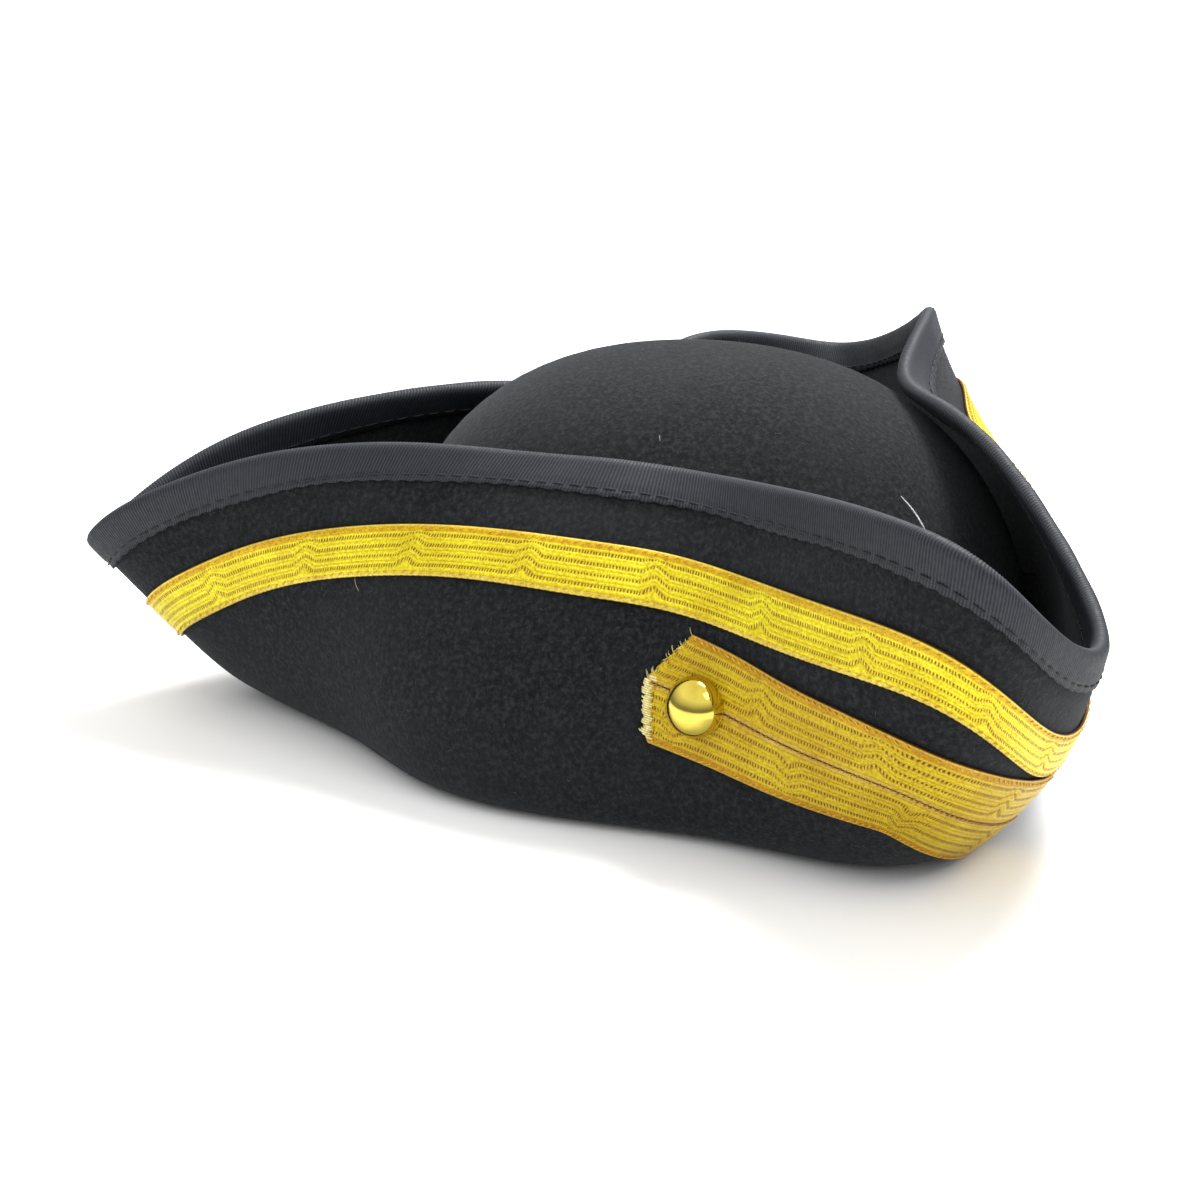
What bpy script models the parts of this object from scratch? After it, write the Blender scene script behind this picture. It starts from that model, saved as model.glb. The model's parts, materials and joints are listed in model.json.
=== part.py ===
"""Pirate hat: a black wool felt tricorn with gold braid. Metres, +Z up.

Crown and brim are one blocked sheet of felt. The brim is folded up on three sides, which
leaves a pinched corner at the front and two rounded corners at the rear. The front tip
points along -Y and the wearer's left side is +X. z = 0 is the plane that the ring round
the head opening rests on. A grosgrain ribbon binds the rim, a gold braid runs round below
it, and a doubled loop of the same braid, held by a brass button on the left flap, wraps
under the left rear corner. The button turns on its shank.
"""
import math

import bmesh
import bpy
from mathutils import Vector
from mathutils.bvhtree import BVHTree

MM = 0.001

# Felt sheet. The outer face is the one inside the head opening, under the brim and on the
# outside of the turned-up flaps; girths are measured over it, down from the rim.
FELT = 2.6 * MM
GAP = 0.3 * MM

# Head opening and crown
HEAD_CENTRE = Vector((6.1, 47.8, 0)) * MM
HEAD_HALF_LENGTH = 100 * MM
HEAD_HALF_WIDTH = 84 * MM
OPENING_FILLET = 4 * MM
CROWN_HEIGHT = 118 * MM
CROWN_STRAIGHT = 30 * MM
CROWN_LEAN = -0.07
CROWN_RISE_POWER = 1.9
CROWN_SIDE_POWER = 2.6

# Brim stations, going round from the front tip towards the wearer's left: angle in degrees,
# then the crease radius, the rim radius and the rim height of the brim's cage in millimetres.
STATIONS = (
    (0, 161, 207, 48),
    (4, 154, 197, 66),
    (11, 141, 151, 91),
    (23, 125, 108, 100),
    (42, 128, 75, 98),
    (65, 115, 71, 101),
    (88, 114, 67, 97),
    (106, 148, 195, 120),
    (121, 140, 174, 69),
    (137, 117, 154, 62),
    (158, 115, 81, 111),
    (180, 111, 53, 107),
    (202, 104, 69, 119),
    (223, 115, 104, 119),
    (239, 121, 148, 97),
    (254, 124, 210, 65),
    (272, 124, 141, 98),
    (295, 122, 84, 83),
    (318, 122, 80, 95),
    (337, 131, 110, 94),
    (349, 146, 167, 82),
    (356, 158, 197, 58),
)
FRONT_TIP = 0
LEFT_CORNER = 121
BACK_MIDDLE = 180
RIGHT_CORNER = 239
CORNER_REACH = 30
BACK_REACH = 45
CREASE_HEIGHT = 7 * MM
CREASE_LIFTS = ((FRONT_TIP, -2 * MM), (LEFT_CORNER, -6 * MM), (RIGHT_CORNER, 9 * MM))
CREASE_START = 0.72
RING = 10 * MM
# Swell of a flap's outer face over the straight line from crease to rim
SIDE_SWELL = 14 * MM
CORNER_SWELL = 3 * MM
TIP_SWELL = 0
BACK_SWELL = 24 * MM
SWELL_SHARES = ((0.38, 1.0), (0.72, 0.8))

# Ribbon, braid and thread
BINDING_WIDTH = 11.5 * MM
RIBBON = 0.7 * MM
BRAID_TOP = 26.5 * MM
BRAID_WIDTH = 16.6 * MM
BRAID = 1.1 * MM
THREAD = 0.5 * MM
BINDING_SEAM = 9.5 * MM
BRAID_SEAM_INSET = 1.2 * MM
SWEATBAND_BOTTOM = 5 * MM
SWEATBAND_HEIGHT = 24 * MM
SWEATBAND = 1.0 * MM
SWEATBAND_SEAM = 3 * MM

# Loop: two strips of braid side by side. Their seam runs through these places on the outer
# face, each a turn counted in stations and a girth, from the button round the left corner.
LOOP_ROUTE = (
    (5.5, 63.4 * MM),
    (5.78, 64.8 * MM),
    (6.1, 66.2 * MM),
    (6.5, 69.2 * MM),
    (6.88, 72.6 * MM),
    (7.2, 73.8 * MM),
    (7.48, 72.2 * MM),
    (7.76, 68.4 * MM),
    (8.0, 65 * MM),
    (8.24, 62.8 * MM),
    (8.45, 61.6 * MM),
)
LOOP_STEP = 3 * MM
LOOP_LIFT = 0.9 * MM
LOOP_LANES = 4
ROUTE_STEPS = 20

# Button: a domed shell closed by a disc, whose wire shank passes through braid and felt
BUTTON_TURN = 5.85
BUTTON_GIRTH = 66.3 * MM
BUTTON_RADIUS = 8.8 * MM
BUTTON_HEIGHT = 6.6 * MM
BUTTON_CLEARANCE = 1 * MM
BUTTON_WALL = 0.5 * MM
BACK_THICKNESS = 0.8 * MM
BUTTON_SIDES = 32
DOME_STEPS = 6
SHANK_WIRE = 1.1 * MM
SHANK_SPAN = 4.2 * MM
SHANK_DEPTH = 6.7 * MM
SHANK_HOLE = 3.4 * MM
SHANK_BENDS = 8
HOLE_DEPTH = 16 * MM
HOLE_SIDES = 20
TIE_LENGTH = 10 * MM
TIE_DEPTH = 4.2 * MM
TIE_RADIUS = 0.4 * MM

# Hidden thread tacks that hold the flaps to the crown
TACK_RADIUS = 0.6 * MM
TACK_HEIGHT = 46 * MM
TACKS = (("left_flap_tack", 60), ("right_flap_tack", 300), ("back_flap_tack", 180))

# Mesh density
COLUMNS_PER_STATION = 3
LOWER_ROWS = 7
CROWN_ROWS = 8
PROFILE_STEPS = 48

COLUMNS = COLUMNS_PER_STATION * len(STATIONS)


def clear_scene():
    for old in list(bpy.data.objects):
        bpy.data.objects.remove(old, do_unlink=True)


def new_collection(name):
    group = bpy.data.collections.new(name)
    bpy.context.scene.collection.children.link(group)
    return group


def new_material(name, colour, roughness, metallic=0.0):
    material = bpy.data.materials.new(name)
    material.use_nodes = True
    shader = material.node_tree.nodes["Principled BSDF"]
    shader.inputs["Base Color"].default_value = (*colour, 1)
    shader.inputs["Roughness"].default_value = roughness
    shader.inputs["Metallic"].default_value = metallic
    material.diffuse_color = (*colour, 1)
    return material


def new_object(name, mesh, material, group):
    body = bpy.data.objects.new(name, mesh)
    body.data.materials.append(material)
    group.objects.link(body)
    return body


def new_mesh(name, points, faces, outward=True):
    mesh = bpy.data.meshes.new(name)
    mesh.from_pydata([tuple(point) for point in points], [], faces)
    if outward:
        work = bmesh.new()
        work.from_mesh(mesh)
        bmesh.ops.recalc_face_normals(work, faces=work.faces)
        work.to_mesh(mesh)
        work.free()
    mesh.update()
    return mesh


# ---------------------------------------------------------------- shape of the felt


def smooth_step(t):
    t = min(max(t, 0), 1)
    return t * t * (3 - 2 * t)


def nearness(degrees, place, reach):
    """1 at the place, falling smoothly to 0 at its reach."""
    apart = abs((degrees - place + 180) % 360 - 180)
    return 1 - smooth_step(apart / reach)


def head_radius(angle):
    return 1 / math.hypot(math.sin(angle) / HEAD_HALF_WIDTH, math.cos(angle) / HEAD_HALF_LENGTH)


def station_rows(degrees, crease, rim, rise):
    """The cage of one station, from the head opening out to the rim, as (radius, height)."""
    head = head_radius(math.radians(degrees))
    crease *= MM
    rim *= MM
    rise *= MM
    low = CREASE_HEIGHT
    for place, lift in CREASE_LIFTS:
        low += lift * nearness(degrees, place, CORNER_REACH)
    swell = SIDE_SWELL
    for place, at_place, reach in (
        (FRONT_TIP, TIP_SWELL, CORNER_REACH),
        (LEFT_CORNER, CORNER_SWELL, CORNER_REACH),
        (RIGHT_CORNER, CORNER_SWELL, CORNER_REACH),
        (BACK_MIDDLE, BACK_SWELL, BACK_REACH),
    ):
        swell += (at_place - SIDE_SWELL) * nearness(degrees, place, reach)
    rows = [
        (head + OPENING_FILLET, 0),
        (head + RING, 0),
        (head + CREASE_START * (crease - head), 0),
        (crease, low),
    ]
    out = rim - crease
    up = rise - low
    slant = math.hypot(out, up)
    for along, share in SWELL_SHARES:
        across = share * swell / slant
        rows.append((crease + along * out + across * up, low + along * up - across * out))
    rows.append((rim, rise))
    return rows


def round_the_head(angle, radius, height):
    return HEAD_CENTRE + Vector((radius * math.sin(angle), -radius * math.cos(angle), height))


def brim_cage():
    """Cage points by station, each with one mirrored point before its first and after its last."""
    cage = []
    for station in STATIONS:
        angle = math.radians(station[0])
        points = [round_the_head(angle, radius, height) for radius, height in station_rows(*station)]
        before = 2 * points[0] - points[1]
        after = 2 * points[-1] - points[-2]
        cage.append([before, *points, after])
    return cage


def spline_weights(t):
    return (
        (1 - t) ** 3 / 6,
        (3 * t**3 - 6 * t**2 + 4) / 6,
        (-3 * t**3 + 3 * t**2 + 3 * t + 1) / 6,
        t**3 / 6,
    )


def cage_point(cage, turn, row):
    """Point of the outer face: turn counts stations, row counts from the opening to the rim."""
    first = math.floor(turn)
    start = min(math.floor(row), len(cage[0]) - 4)
    point = Vector((0, 0, 0))
    for i, along in enumerate(spline_weights(turn - first)):
        station = cage[(first - 1 + i) % len(cage)]
        for j, across in enumerate(spline_weights(row - start)):
            point += along * across * station[start + j]
    return point


def brim_profile(cage, turn):
    """Points down one meridian from the rim to the ring's outer edge, with their girths."""
    last_row = len(cage[0]) - 3
    points = []
    girths = []
    girth = 0.0
    for k in range(PROFILE_STEPS + 1):
        row = last_row + (1 - last_row) * k / PROFILE_STEPS
        point = cage_point(cage, turn, row)
        if points:
            girth += (point - points[-1]).length
        points.append(point)
        girths.append(girth)
    return points, girths


def point_at_girth(profile, girth):
    points, girths = profile
    k = 1
    while k < len(points) - 1 and girths[k] < girth:
        k += 1
    t = (girth - girths[k - 1]) / (girths[k] - girths[k - 1])
    return points[k - 1].lerp(points[k], t)


def crown_rows():
    """Radius share of the head oval, inset and height of the crown's inside, going up."""
    rows = []
    for k in (2, 1, 0):
        turn = math.pi / 6 * k
        spread = OPENING_FILLET * (1 - math.cos(turn))
        rows.append((1.0, spread, OPENING_FILLET * (1 - math.sin(turn))))
    rows.append((1.0, 0.0, (OPENING_FILLET + CROWN_STRAIGHT) / 2))
    rows.append((1.0, 0.0, CROWN_STRAIGHT))
    dome = CROWN_HEIGHT - FELT - CROWN_STRAIGHT
    for k in range(1, CROWN_ROWS):
        turn = math.pi / 2 * k / CROWN_ROWS
        share = math.cos(turn) ** (2 / CROWN_SIDE_POWER)
        rows.append((share, 0.0, CROWN_STRAIGHT + dome * math.sin(turn) ** (2 / CROWN_RISE_POWER)))
    return rows


def lean(height):
    return Vector((0, CROWN_LEAN * height, 0))


BRIM_GIRTHS = (
    0,
    4 * MM,
    BINDING_WIDTH,
    (BINDING_WIDTH + BRAID_TOP) / 2,
    BRAID_TOP,
    BRAID_TOP + BRAID_WIDTH / 2,
    BRAID_TOP + BRAID_WIDTH,
)
RIM_ROW = 0
BINDING_ROW = 2
BRAID_ROW = 4
BRAID_END_ROW = 6


def felt_grid(cage):
    """Rows of points over the outer face, from the rim in to the opening and up the crown."""
    profiles = [brim_profile(cage, k / COLUMNS_PER_STATION) for k in range(COLUMNS)]
    rows = [[point_at_girth(profile, girth) for profile in profiles] for girth in BRIM_GIRTHS]
    for k in range(1, LOWER_ROWS + 1):
        row = []
        for profile in profiles:
            top = BRIM_GIRTHS[-1]
            row.append(point_at_girth(profile, top + (profile[1][-1] - top) * k / LOWER_ROWS))
        rows.append(row)
    rows.append([cage_point(cage, k / COLUMNS_PER_STATION, 0) for k in range(COLUMNS)])
    angles = []
    for point in rows[-1]:
        flat = point - HEAD_CENTRE
        angles.append(math.atan2(flat.x, -flat.y))
    for share, spread, height in crown_rows():
        row = []
        for angle in angles:
            radius = share * head_radius(angle) + spread
            row.append(round_the_head(angle, radius, height) + lean(height))
        rows.append(row)
    return rows


def crown_top():
    height = CROWN_HEIGHT - FELT
    return HEAD_CENTRE + Vector((0, 0, height)) + lean(height)


def cell(upper, lower, c, d, climbing=False):
    """Two triangles between two rows, always split from the upper row's c to the lower's d."""
    if climbing:
        return (lower + c, upper + c, lower + d), (upper + c, upper + d, lower + d)
    return (upper + c, lower + c, lower + d), (upper + c, lower + d, upper + d)


def felt_face(rows):
    """The outer face as an open mesh, its normals pointing out of the sheet."""
    points = [point for row in rows for point in row]
    faces = []
    for r in range(len(rows) - 1):
        for c in range(COLUMNS):
            d = (c + 1) % COLUMNS
            faces.extend(cell(r * COLUMNS, (r + 1) * COLUMNS, c, d))
    points.append(crown_top())
    last = (len(rows) - 1) * COLUMNS
    for c in range(COLUMNS):
        faces.append((last + c, len(points) - 1, last + (c + 1) % COLUMNS))
    return new_mesh("felt_body", points, faces, outward=False)


class Sheet:
    """The felt's outer face: its grid, its normals and where any point lies over it."""

    def __init__(self, rows, mesh):
        self.rows = rows
        normals = [normal.vector.copy() for normal in mesh.vertex_normals]
        self.normals = [normals[r * COLUMNS:(r + 1) * COLUMNS] for r in range(len(rows))]
        corners = [vertex.co.copy() for vertex in mesh.vertices]
        self.tree = BVHTree.FromPolygons(corners, [tuple(face.vertices) for face in mesh.polygons])

    def ring(self, row, lift, past_rim=0.0):
        """A row's number and its points, raised from the outer face and moved past the rim."""
        ring = []
        for c in range(COLUMNS):
            point = self.rows[row][c] + self.normals[row][c] * lift
            if past_rim:
                point += (self.rows[0][c] - self.rows[1][c]).normalized() * past_rim
            ring.append(point)
        return row, ring

    def nearest(self, point):
        place, normal, _, _ = self.tree.find_nearest(point)
        return place, normal


def closed_band(name, rings, material, group):
    """A closed solid from rings of points that go round its cross-section and join up.

    Each ring comes with its row on the felt, so that cells split as the felt's do.
    """
    points = [point for _, ring in rings for point in ring]
    count = len(rings[0][1])
    faces = []
    for r in range(len(rings)):
        s = (r + 1) % len(rings)
        climbing = rings[s][0] < rings[r][0]
        upper, lower = (s, r) if climbing else (r, s)
        for c in range(count):
            faces.extend(cell(upper * count, lower * count, c, (c + 1) % count, climbing))
    return new_object(name, new_mesh(name, points, faces), material, group)


def thread(name, points, radius, material, group, closed=False, rounding=0):
    """A thread or wire along points, closed into a ring or with capped ends."""
    curve = bpy.data.curves.new(name, "CURVE")
    curve.dimensions = "3D"
    curve.bevel_depth = radius
    curve.bevel_resolution = rounding
    curve.use_fill_caps = True
    spline = curve.splines.new("POLY")
    spline.points.add(len(points) - 1)
    for slot, point in zip(spline.points, points):
        slot.co = (*point, 1)
    spline.use_cyclic_u = closed
    curve.materials.append(material)
    body = bpy.data.objects.new(name, curve)
    group.objects.link(body)
    return body


# ---------------------------------------------------------------- felt, ribbon and braid


def add_felt(face, material, group):
    body = new_object("felt_body", face, material, group)
    shell = body.modifiers.new("felt", "SOLIDIFY")
    shell.thickness = FELT
    shell.offset = -1
    shell.use_even_offset = False
    return body


def add_binding(sheet, material, group):
    """The ribbon over the rim: out along the outer leg, over the edge, in along the inner leg."""
    outer = GAP + RIBBON
    inner = -(FELT + GAP)
    deep = inner - RIBBON
    legs = (BINDING_ROW, BINDING_ROW - 1)
    rings = [sheet.ring(row, outer) for row in legs]
    rings.append(sheet.ring(RIM_ROW, outer))
    rings.append(sheet.ring(RIM_ROW, 0, outer))
    rings.append(sheet.ring(RIM_ROW, -FELT, outer))
    rings.append(sheet.ring(RIM_ROW, deep))
    rings.extend(sheet.ring(row, deep) for row in reversed(legs))
    rings.extend(sheet.ring(row, inner) for row in legs)
    rings.append(sheet.ring(RIM_ROW, inner, GAP))
    rings.append(sheet.ring(RIM_ROW, GAP, GAP))
    rings.extend(sheet.ring(row, GAP) for row in reversed(legs))
    return closed_band("binding_ribbon", rings, material, group)


def add_brim_braid(sheet, material, group):
    rows = range(BRAID_ROW, BRAID_END_ROW + 1)
    rings = [sheet.ring(row, GAP + BRAID) for row in rows]
    rings.extend(sheet.ring(row, GAP) for row in reversed(rows))
    return closed_band("brim_braid", rings, material, group)


def between_rows(sheet, upper, share, lift):
    """Points between one row and the next, raised from the outer face."""
    return [
        high.lerp(low, share)
        for high, low in zip(sheet.ring(upper, lift)[1], sheet.ring(upper + 1, lift)[1])
    ]


def add_seam_threads(sheet, dark, gold, group):
    on_ribbon = GAP + RIBBON + GAP + THREAD / 2
    share = (BINDING_SEAM - BRIM_GIRTHS[1]) / (BRIM_GIRTHS[2] - BRIM_GIRTHS[1])
    ring = between_rows(sheet, 1, share, on_ribbon)
    thread("binding_thread", ring, THREAD / 2, dark, group, closed=True)
    on_braid = GAP + BRAID + GAP + THREAD / 2
    inset = BRAID_SEAM_INSET / (BRAID_WIDTH / 2)
    upper = between_rows(sheet, BRAID_ROW, inset, on_braid)
    thread("braid_thread_upper", upper, THREAD / 2, gold, group, closed=True)
    lower = between_rows(sheet, BRAID_END_ROW - 1, 1 - inset, on_braid)
    thread("braid_thread_lower", lower, THREAD / 2, gold, group, closed=True)


def add_sweatband(leather, dark, group):
    def ring(height, inset):
        points = []
        for k in range(COLUMNS):
            angle = math.tau * k / COLUMNS
            points.append(round_the_head(angle, head_radius(angle) - inset, height) + lean(height))
        return height, points

    near = 2 * GAP
    far = near + SWEATBAND
    top = SWEATBAND_BOTTOM + SWEATBAND_HEIGHT
    rings = [ring(SWEATBAND_BOTTOM, far), ring(top, far), ring(top, near), ring(SWEATBAND_BOTTOM, near)]
    closed_band("sweatband", rings, leather, group)
    _, seam = ring(SWEATBAND_BOTTOM + SWEATBAND_SEAM, far + GAP + THREAD / 2)
    thread("sweatband_thread", seam, THREAD / 2, dark, group, closed=True)


# ---------------------------------------------------------------- loop


def button_seat(sheet, cage):
    """Where the button's axis meets the outer face, and the axis pointing out of the flap."""
    on_face = point_at_girth(brim_profile(cage, BUTTON_TURN), BUTTON_GIRTH)
    return sheet.nearest(on_face)


def smooth_route(route, t):
    """Catmull-Rom curve through the route's places, t counting from one to the next."""
    first = min(int(t), len(route) - 2)
    t -= first
    a, b, c, d = (Vector(route[min(max(first + k, 0), len(route) - 1)]) for k in (-1, 0, 1, 2))
    return (2 * b + (c - a) * t + (2 * a - 5 * b + 4 * c - d) * t**2 + (3 * b - a - 3 * c + d) * t**3) / 2


def loop_trail(sheet, cage):
    """Even steps along the loop's seam: places on the felt, their normals and headings."""
    fine = []
    for k in range(ROUTE_STEPS * (len(LOOP_ROUTE) - 1) + 1):
        turn, girth = smooth_route(LOOP_ROUTE, k / ROUTE_STEPS)
        fine.append(sheet.nearest(point_at_girth(brim_profile(cage, turn), girth)))
    steps = [fine[0]]
    for place, normal in fine[1:]:
        if (place - steps[-1][0]).length >= LOOP_STEP:
            steps.append((place, normal))
    trail = []
    for k, (place, normal) in enumerate(steps):
        ahead = steps[min(k + 1, len(steps) - 1)][0] - steps[max(k - 1, 0)][0]
        trail.append((place, normal, (ahead - normal * ahead.dot(normal)).normalized()))
    return trail


def walk_aside(sheet, place, normal, heading, distances):
    """Places at growing distances to one side of the trail, walked over the felt."""
    side = math.copysign(1, distances[-1])
    aside = heading.cross(normal).normalized() * side
    spots = []
    gone = 0.0
    for distance in distances:
        start = place
        place, facing = sheet.nearest(start + aside * (abs(distance) - gone))
        gone = abs(distance)
        if (place - start).length > GAP:
            aside = (place - start).normalized()
        aside = (aside - facing * aside.dot(facing)).normalized()
        normal = (normal + 2 * facing).normalized()
        spots.append((place, normal))
    return spots


def add_loop_strip(name, sheet, trail, distances, material, group):
    """One strip of braid beside the trail, between its first and last distance from it."""
    sections = []
    for place, normal, heading in trail:
        spots = walk_aside(sheet, place, normal, heading, distances)
        bottom = [spot + facing * LOOP_LIFT for spot, facing in spots]
        top = [spot + facing * (LOOP_LIFT + BRAID) for spot, facing in spots]
        sections.append(bottom + top[::-1])
    count = len(sections[0])
    points = [point for section in sections for point in section]
    faces = []
    for s in range(len(sections) - 1):
        for k in range(count):
            m = (k + 1) % count
            faces.append((s * count + k, s * count + m, (s + 1) * count + m, (s + 1) * count + k))
    faces.append(tuple(range(count)))
    faces.append(tuple(len(points) - count + k for k in range(count)))
    return new_object(name, new_mesh(name, points, faces), material, group)


def add_loop(sheet, cage, braid, gold, group):
    trail = loop_trail(sheet, cage)
    strips = []
    for name, side in (("upper", -1), ("lower", 1)):
        near = side * GAP / 2
        far = side * BRAID_WIDTH
        distances = [near + (far - near) * k / (LOOP_LANES - 1) for k in range(LOOP_LANES)]
        strips.append(add_loop_strip("loop_strip_" + name, sheet, trail, distances, braid, group))
        raised = LOOP_LIFT + BRAID + 2 * GAP + THREAD / 2
        seam = []
        for place, normal, heading in trail[1:-1]:
            lanes = [*distances[:-1], far - side * BRAID_SEAM_INSET]
            spot, facing = walk_aside(sheet, place, normal, heading, lanes)[-1]
            seam.append(spot + facing * raised)
        thread("loop_thread_" + name, seam, THREAD / 2, gold, group)
    return strips


# ---------------------------------------------------------------- button


def axis_frame(seat, axis):
    """An empty on the button's axis, its Z pointing out of the flap."""
    frame = bpy.data.objects.new("button_axis", None)
    frame.empty_display_size = 0.02
    frame.location = seat
    frame.rotation_mode = "QUATERNION"
    frame.rotation_quaternion = axis.to_track_quat("Z", "Y")
    return frame


def turned(name, profile, material, group, frame):
    """A solid of revolution about the frame's Z from a profile of (radius, height)."""
    mesh = bpy.data.meshes.new(name)
    edges = [(k, k + 1) for k in range(len(profile) - 1)]
    mesh.from_pydata([(radius, 0, height) for radius, height in profile], edges, [])
    body = new_object(name, mesh, material, group)
    screw = body.modifiers.new("turn", "SCREW")
    screw.steps = BUTTON_SIDES
    screw.render_steps = BUTTON_SIDES
    screw.use_merge_vertices = True
    screw.merge_threshold = 0.00001
    body.parent = frame
    return body


def dome_arc(radius, base, height, count):
    """Quarter ellipse from the axis out to the edge."""
    arc = []
    for k in range(count + 1):
        turn = math.pi / 2 * k / count
        arc.append((radius * math.sin(turn), base + height * math.cos(turn)))
    return arc


def add_button(seat, axis, brass, group):
    frame = axis_frame(seat, axis)
    group.objects.link(frame)
    floor = LOOP_LIFT + BRAID + BUTTON_CLEARANCE
    outer = dome_arc(BUTTON_RADIUS, floor, BUTTON_HEIGHT, DOME_STEPS)
    inner = dome_arc(BUTTON_RADIUS - BUTTON_WALL, floor, BUTTON_HEIGHT - BUTTON_WALL, DOME_STEPS)
    turned("button_dome", outer + inner[::-1], brass, group, frame)
    wide = BUTTON_RADIUS - BUTTON_WALL - GAP
    back_top = floor + BACK_THICKNESS
    back = [(0, back_top), (wide, back_top), (wide, floor), (0, floor)]
    turned("button_back", back, brass, group, frame)
    half = (SHANK_SPAN - SHANK_WIRE) / 2
    root = floor - GAP
    bend = half - SHANK_DEPTH
    path = [(half, 0, root), (half, 0, bend)]
    for k in range(1, SHANK_BENDS):
        turn = math.pi * k / SHANK_BENDS
        path.append((half * math.cos(turn), 0, bend - half * math.sin(turn)))
    path.extend([(-half, 0, bend), (-half, 0, root)])
    shank = thread("button_shank", path, SHANK_WIRE / 2, brass, group, rounding=2)
    shank.parent = frame
    return frame


def cut_shank_hole(bodies, seat, axis, cutters):
    """A round hole through the braid's seam and the felt."""
    bpy.ops.mesh.primitive_cylinder_add(vertices=HOLE_SIDES, radius=SHANK_HOLE, depth=HOLE_DEPTH)
    cutter = bpy.context.object
    cutter.name = "shank_hole_cutter"
    for holder in list(cutter.users_collection):
        holder.objects.unlink(cutter)
    cutters.objects.link(cutter)
    cutter.location = seat
    cutter.rotation_mode = "QUATERNION"
    cutter.rotation_quaternion = axis.to_track_quat("Z", "Y")
    cutter.display_type = "WIRE"
    cutter.hide_render = True
    for body in bodies:
        hole = body.modifiers.new("shank_hole", "BOOLEAN")
        hole.operation = "DIFFERENCE"
        hole.solver = "EXACT"
        hole.object = cutter


def add_button_tie(frame_seat, axis, thread_black, group):
    """The thread bar across the hole on the inside of the flap, through the shank."""
    turn = axis.to_track_quat("Z", "Y")
    half = TIE_LENGTH / 2
    points = []
    for along in (-1.0, -0.5, 0.0, 0.5, 1.0):
        points.append(frame_seat + turn @ Vector((0, half * along, -TIE_DEPTH)))
    return thread("button_tie", points, TIE_RADIUS, thread_black, group, rounding=2)


# ---------------------------------------------------------------- hidden tacks


def add_tack(name, degrees, height, felt_tree, material, group):
    """A thread bar from a flap's inner face across to the crown."""
    angle = math.radians(degrees)
    outward = Vector((math.sin(angle), -math.cos(angle), 0))
    middle = HEAD_CENTRE + Vector((0, 0, height)) + lean(height)
    start = middle
    faces = []
    for _ in ("crown inside", "crown outside", "flap inside"):
        place = felt_tree.ray_cast(start, outward)[0]
        faces.append(place)
        start = place + outward * GAP / 10
    first = faces[1] + outward * GAP * 2
    last = faces[2] - outward * GAP * 2
    points = [first.lerp(last, k / 4) for k in range(5)]
    return thread(name, points, TACK_RADIUS, material, group, rounding=2)


def evaluated_tree(body):
    graph = bpy.context.evaluated_depsgraph_get()
    mesh = body.evaluated_get(graph).to_mesh()
    corners = [vertex.co.copy() for vertex in mesh.vertices]
    return BVHTree.FromPolygons(corners, [tuple(face.vertices) for face in mesh.polygons])


# ---------------------------------------------------------------- the hat


def build_hat():
    hat = new_collection("pirate_hat")
    cutters = new_collection("cutters")
    felt = new_material("wool_felt", (0.016, 0.017, 0.020), 0.95)
    ribbon = new_material("grosgrain", (0.028, 0.031, 0.040), 0.7)
    braid = new_material("gold_braid", (0.80, 0.55, 0.07), 0.45, 0.25)
    gold = new_material("gold_thread", (0.72, 0.46, 0.06), 0.5)
    dark = new_material("dark_thread", (0.02, 0.02, 0.025), 0.8)
    leather = new_material("sweatband_fabric", (0.03, 0.03, 0.033), 0.7)
    brass = new_material("brass", (0.83, 0.62, 0.25), 0.15, 1.0)

    cage = brim_cage()
    rows = felt_grid(cage)
    face = felt_face(rows)
    sheet = Sheet(rows, face)
    felt_body = add_felt(face, felt, hat)
    add_binding(sheet, ribbon, hat)
    add_brim_braid(sheet, braid, hat)
    add_seam_threads(sheet, dark, gold, hat)
    add_sweatband(leather, dark, hat)

    seat, axis = button_seat(sheet, cage)
    strips = add_loop(sheet, cage, braid, gold, hat)
    cut_shank_hole([felt_body, *strips], seat, axis, cutters)
    add_button(seat, axis, brass, hat)
    add_button_tie(seat, axis, dark, hat)

    felt_tree = evaluated_tree(felt_body)
    for name, degrees in TACKS:
        add_tack(name, degrees, TACK_HEIGHT, felt_tree, dark, hat)


clear_scene()
build_hat()
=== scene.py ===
"""Looks of the pirate hat: a black wool felt tricorn with gold braid, a braid loop and a button.

The felt, ribbon, braid, loop and sweatband are built over the same surface as the CAD's, at the
scale of their ribs, cords and stitches. Metres, +Z up, the front tip along -Y.
"""
import json
import math

import bmesh
import bpy
import numpy as np
from mathutils import Matrix, Vector
from mathutils.bvhtree import BVHTree


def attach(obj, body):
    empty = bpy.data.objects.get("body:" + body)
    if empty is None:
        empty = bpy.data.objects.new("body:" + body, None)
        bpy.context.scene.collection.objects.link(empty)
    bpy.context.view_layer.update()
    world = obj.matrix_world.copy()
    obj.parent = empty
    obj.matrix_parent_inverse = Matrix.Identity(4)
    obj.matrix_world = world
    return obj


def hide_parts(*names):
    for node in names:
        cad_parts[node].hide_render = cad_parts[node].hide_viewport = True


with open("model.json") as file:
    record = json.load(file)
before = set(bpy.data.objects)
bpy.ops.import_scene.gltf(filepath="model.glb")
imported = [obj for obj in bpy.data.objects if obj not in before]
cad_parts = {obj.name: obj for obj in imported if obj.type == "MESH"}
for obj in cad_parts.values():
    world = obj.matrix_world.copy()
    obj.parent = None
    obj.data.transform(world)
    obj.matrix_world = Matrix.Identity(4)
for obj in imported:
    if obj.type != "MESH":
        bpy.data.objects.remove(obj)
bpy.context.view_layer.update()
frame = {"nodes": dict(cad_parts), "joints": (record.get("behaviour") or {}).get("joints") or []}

MM = 0.001
RANDOM = np.random.default_rng(7)

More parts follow.
